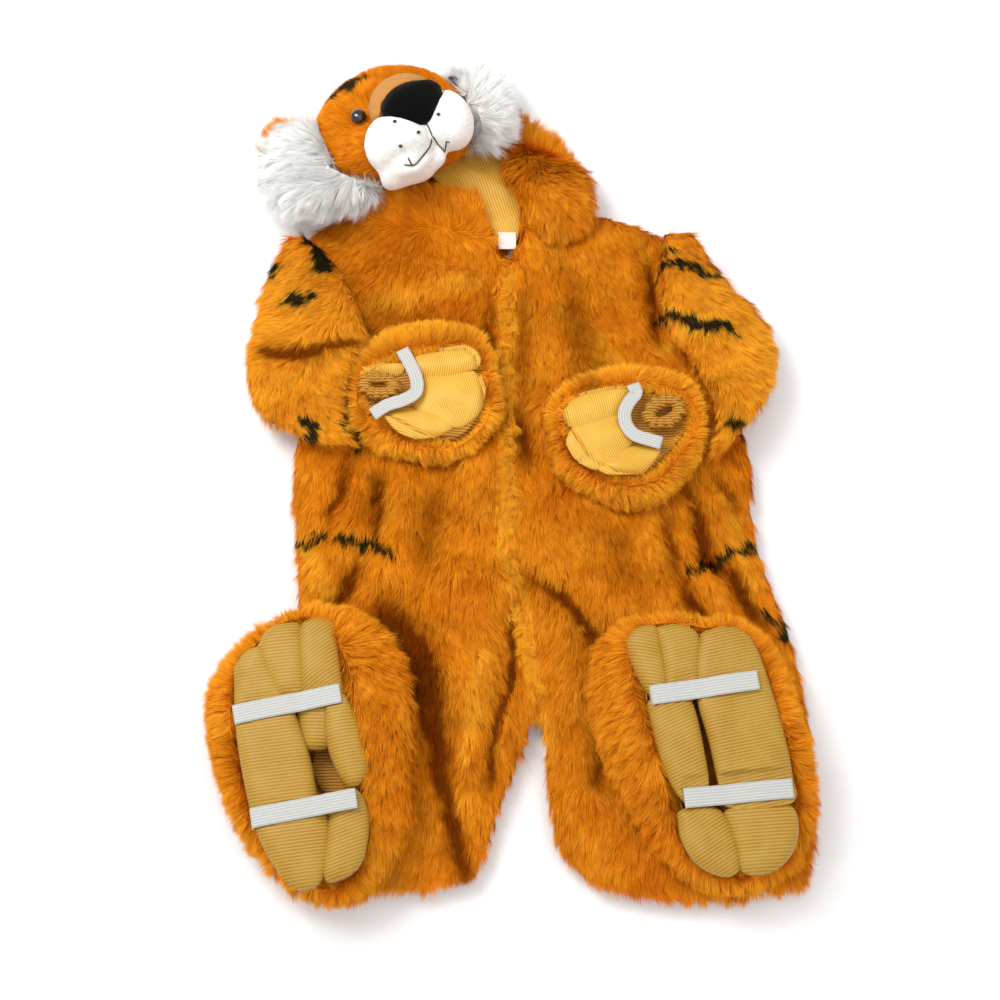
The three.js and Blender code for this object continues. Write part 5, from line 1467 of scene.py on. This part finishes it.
class COSTUME_OT_head(bpy.types.Operator):
    """Make the plush head: shell, cheeks of long fur, ear, muzzle, nose and eyes"""

    bl_idname = "costume.head"
    bl_label = "Head"

    def execute(self, context):
        shell, _ = furry("head_shell", soften=6, width=0.7 * MM, tints=pale_near((), -0.14, 0, 1))
        for node in ("ruff_right", "ruff_left", "ear_right"):
            tints = ear_tints if node == "ear_right" else white_tints
            base = softened(node, node + "_cloth", "ruff_fur", 4, 3)
            pull_in(base.data, 10)
            finish_cloth(base, white_tints, "knitted backing, white")
            grow_pile(node + "_pile", base, tints, own=(node,), length=28, density=3.0, lift=24,
                      clump=7, comb=node.replace("_right", "") if node == "ear_right" else node,
                      width=0.75 * MM, slot="ruff_fur", gather=0.2, spread=10)
        muzzle = softened("muzzle", "muzzle_cloth", "white_plush", 2.6, 8)
        draw_muzzle(muzzle)
        press_creases(muzzle.data, MUZZLE_CREASES)
        finish_cloth(muzzle, flat_tints("fbfaf6", "ffffff"), "short plush, white", velour_look)
        muzzle_stitching(tree_of(muzzle.data))
        for node, slot, code, pull in (
            ("nose_bridge", "tan_plush", "c98d4c", 0.6), ("nose", "black_velour", "0b0a0a", 0.3),
        ):
            part = softened(node, node + "_cloth", slot, 2.2, 4)
            pull_in(part.data, pull)
            finish_cloth(part, flat_tints(code, code), "short plush, " + slot, velour_look)
        for node in ("eye_right", "eye_left"):
            eye = softened(node, node + "_button", "eye_plastic", 0.9, 3)
            dress(eye.data, "polished acrylic", eye_look)
        return {"FINISHED"}


class COSTUME_OT_stage(bpy.types.Operator):
    """Make the pale floor, the soft studio light and the camera"""

    bl_idname = "costume.stage"
    bl_label = "Stage"

    def execute(self, context):
        settings = context.scene.costume_stage
        bm = bmesh.new()
        bmesh.ops.create_grid(bm, x_segments=1, y_segments=1, size=4)
        mesh = bpy.data.meshes.new("floor")
        bm.to_mesh(mesh)
        bm.free()
        floor = bpy.data.objects.new("floor", mesh)
        floor.location.z = -0.2 * MM
        context.scene.collection.objects.link(floor)
        dress(mesh, "matt paper", paper_look)

        target = Vector(AIM)
        rise = settings.elevation
        back = Vector((0, -math.cos(rise), math.sin(rise)))
        data = bpy.data.cameras.new("camera")
        data.lens = FOCAL_LENGTH
        data.sensor_width = SENSOR_WIDTH
        camera = bpy.data.objects.new("camera", data)
        camera.matrix_world = Matrix.Translation(target + back * settings.distance) @ (
            back.to_track_quat("Z", "Y").to_matrix().to_4x4())
        context.scene.collection.objects.link(camera)
        context.scene.camera = camera

        for name, place, power, size in LIGHTS:
            light = bpy.data.lights.new(name, "AREA")
            light.energy = power
            light.size = size
            lamp = bpy.data.objects.new(name, light)
            lamp.matrix_world = Matrix.Translation(place) @ (
                (Vector(place) - target).to_track_quat("Z", "Y").to_matrix().to_4x4())
            context.scene.collection.objects.link(lamp)
        world = bpy.data.worlds.new("studio")
        world.use_nodes = True
        sky = world.node_tree.nodes["Background"]
        sky.inputs["Color"].default_value = (1, 1, 1, 1)
        sky.inputs["Strength"].default_value = SKY
        context.scene.world = world
        context.scene.view_settings.view_transform = "Standard"
        return {"FINISHED"}


class COSTUME_PT_panel(bpy.types.Panel):
    """Sizes, colours and the steps that build the costume"""

    bl_idname = "COSTUME_PT_panel"
    bl_label = "Plush Tiger Costume"
    bl_space_type = "VIEW_3D"
    bl_region_type = "UI"
    bl_category = "Costume"

    def draw(self, context):
        for group in (context.scene.costume_fur, context.scene.costume_lining,
                      context.scene.costume_stage):
            box = self.layout.box()
            for name in group.bl_rna.properties.keys():
                if name not in ("rna_type", "name"):
                    box.prop(group, name)
        for step in STEPS:
            self.layout.operator(step.bl_idname)


STEPS = (
    COSTUME_OT_body, COSTUME_OT_sleeves, COSTUME_OT_mitts, COSTUME_OT_feet, COSTUME_OT_hood,
    COSTUME_OT_head, COSTUME_OT_stage,
)
GROUPS = {
    "costume_fur": CostumeFurSettings, "costume_lining": CostumeLiningSettings,
    "costume_stage": CostumeStageSettings,
}


def register():
    for group in GROUPS.values():
        bpy.utils.register_class(group)
    for name, group in GROUPS.items():
        setattr(bpy.types.Scene, name, PointerProperty(type=group))
    for step in STEPS:
        bpy.utils.register_class(step)
    bpy.utils.register_class(COSTUME_PT_panel)


def unregister():
    bpy.utils.unregister_class(COSTUME_PT_panel)
    for step in reversed(STEPS):
        bpy.utils.unregister_class(step)
    for name, group in GROUPS.items():
        delattr(bpy.types.Scene, name)
        bpy.utils.unregister_class(group)


def main():
    register()
    for step in STEPS:
        group, name = step.bl_idname.split(".")
        getattr(getattr(bpy.ops, group), name)()


if __name__ == "__main__":
    main()
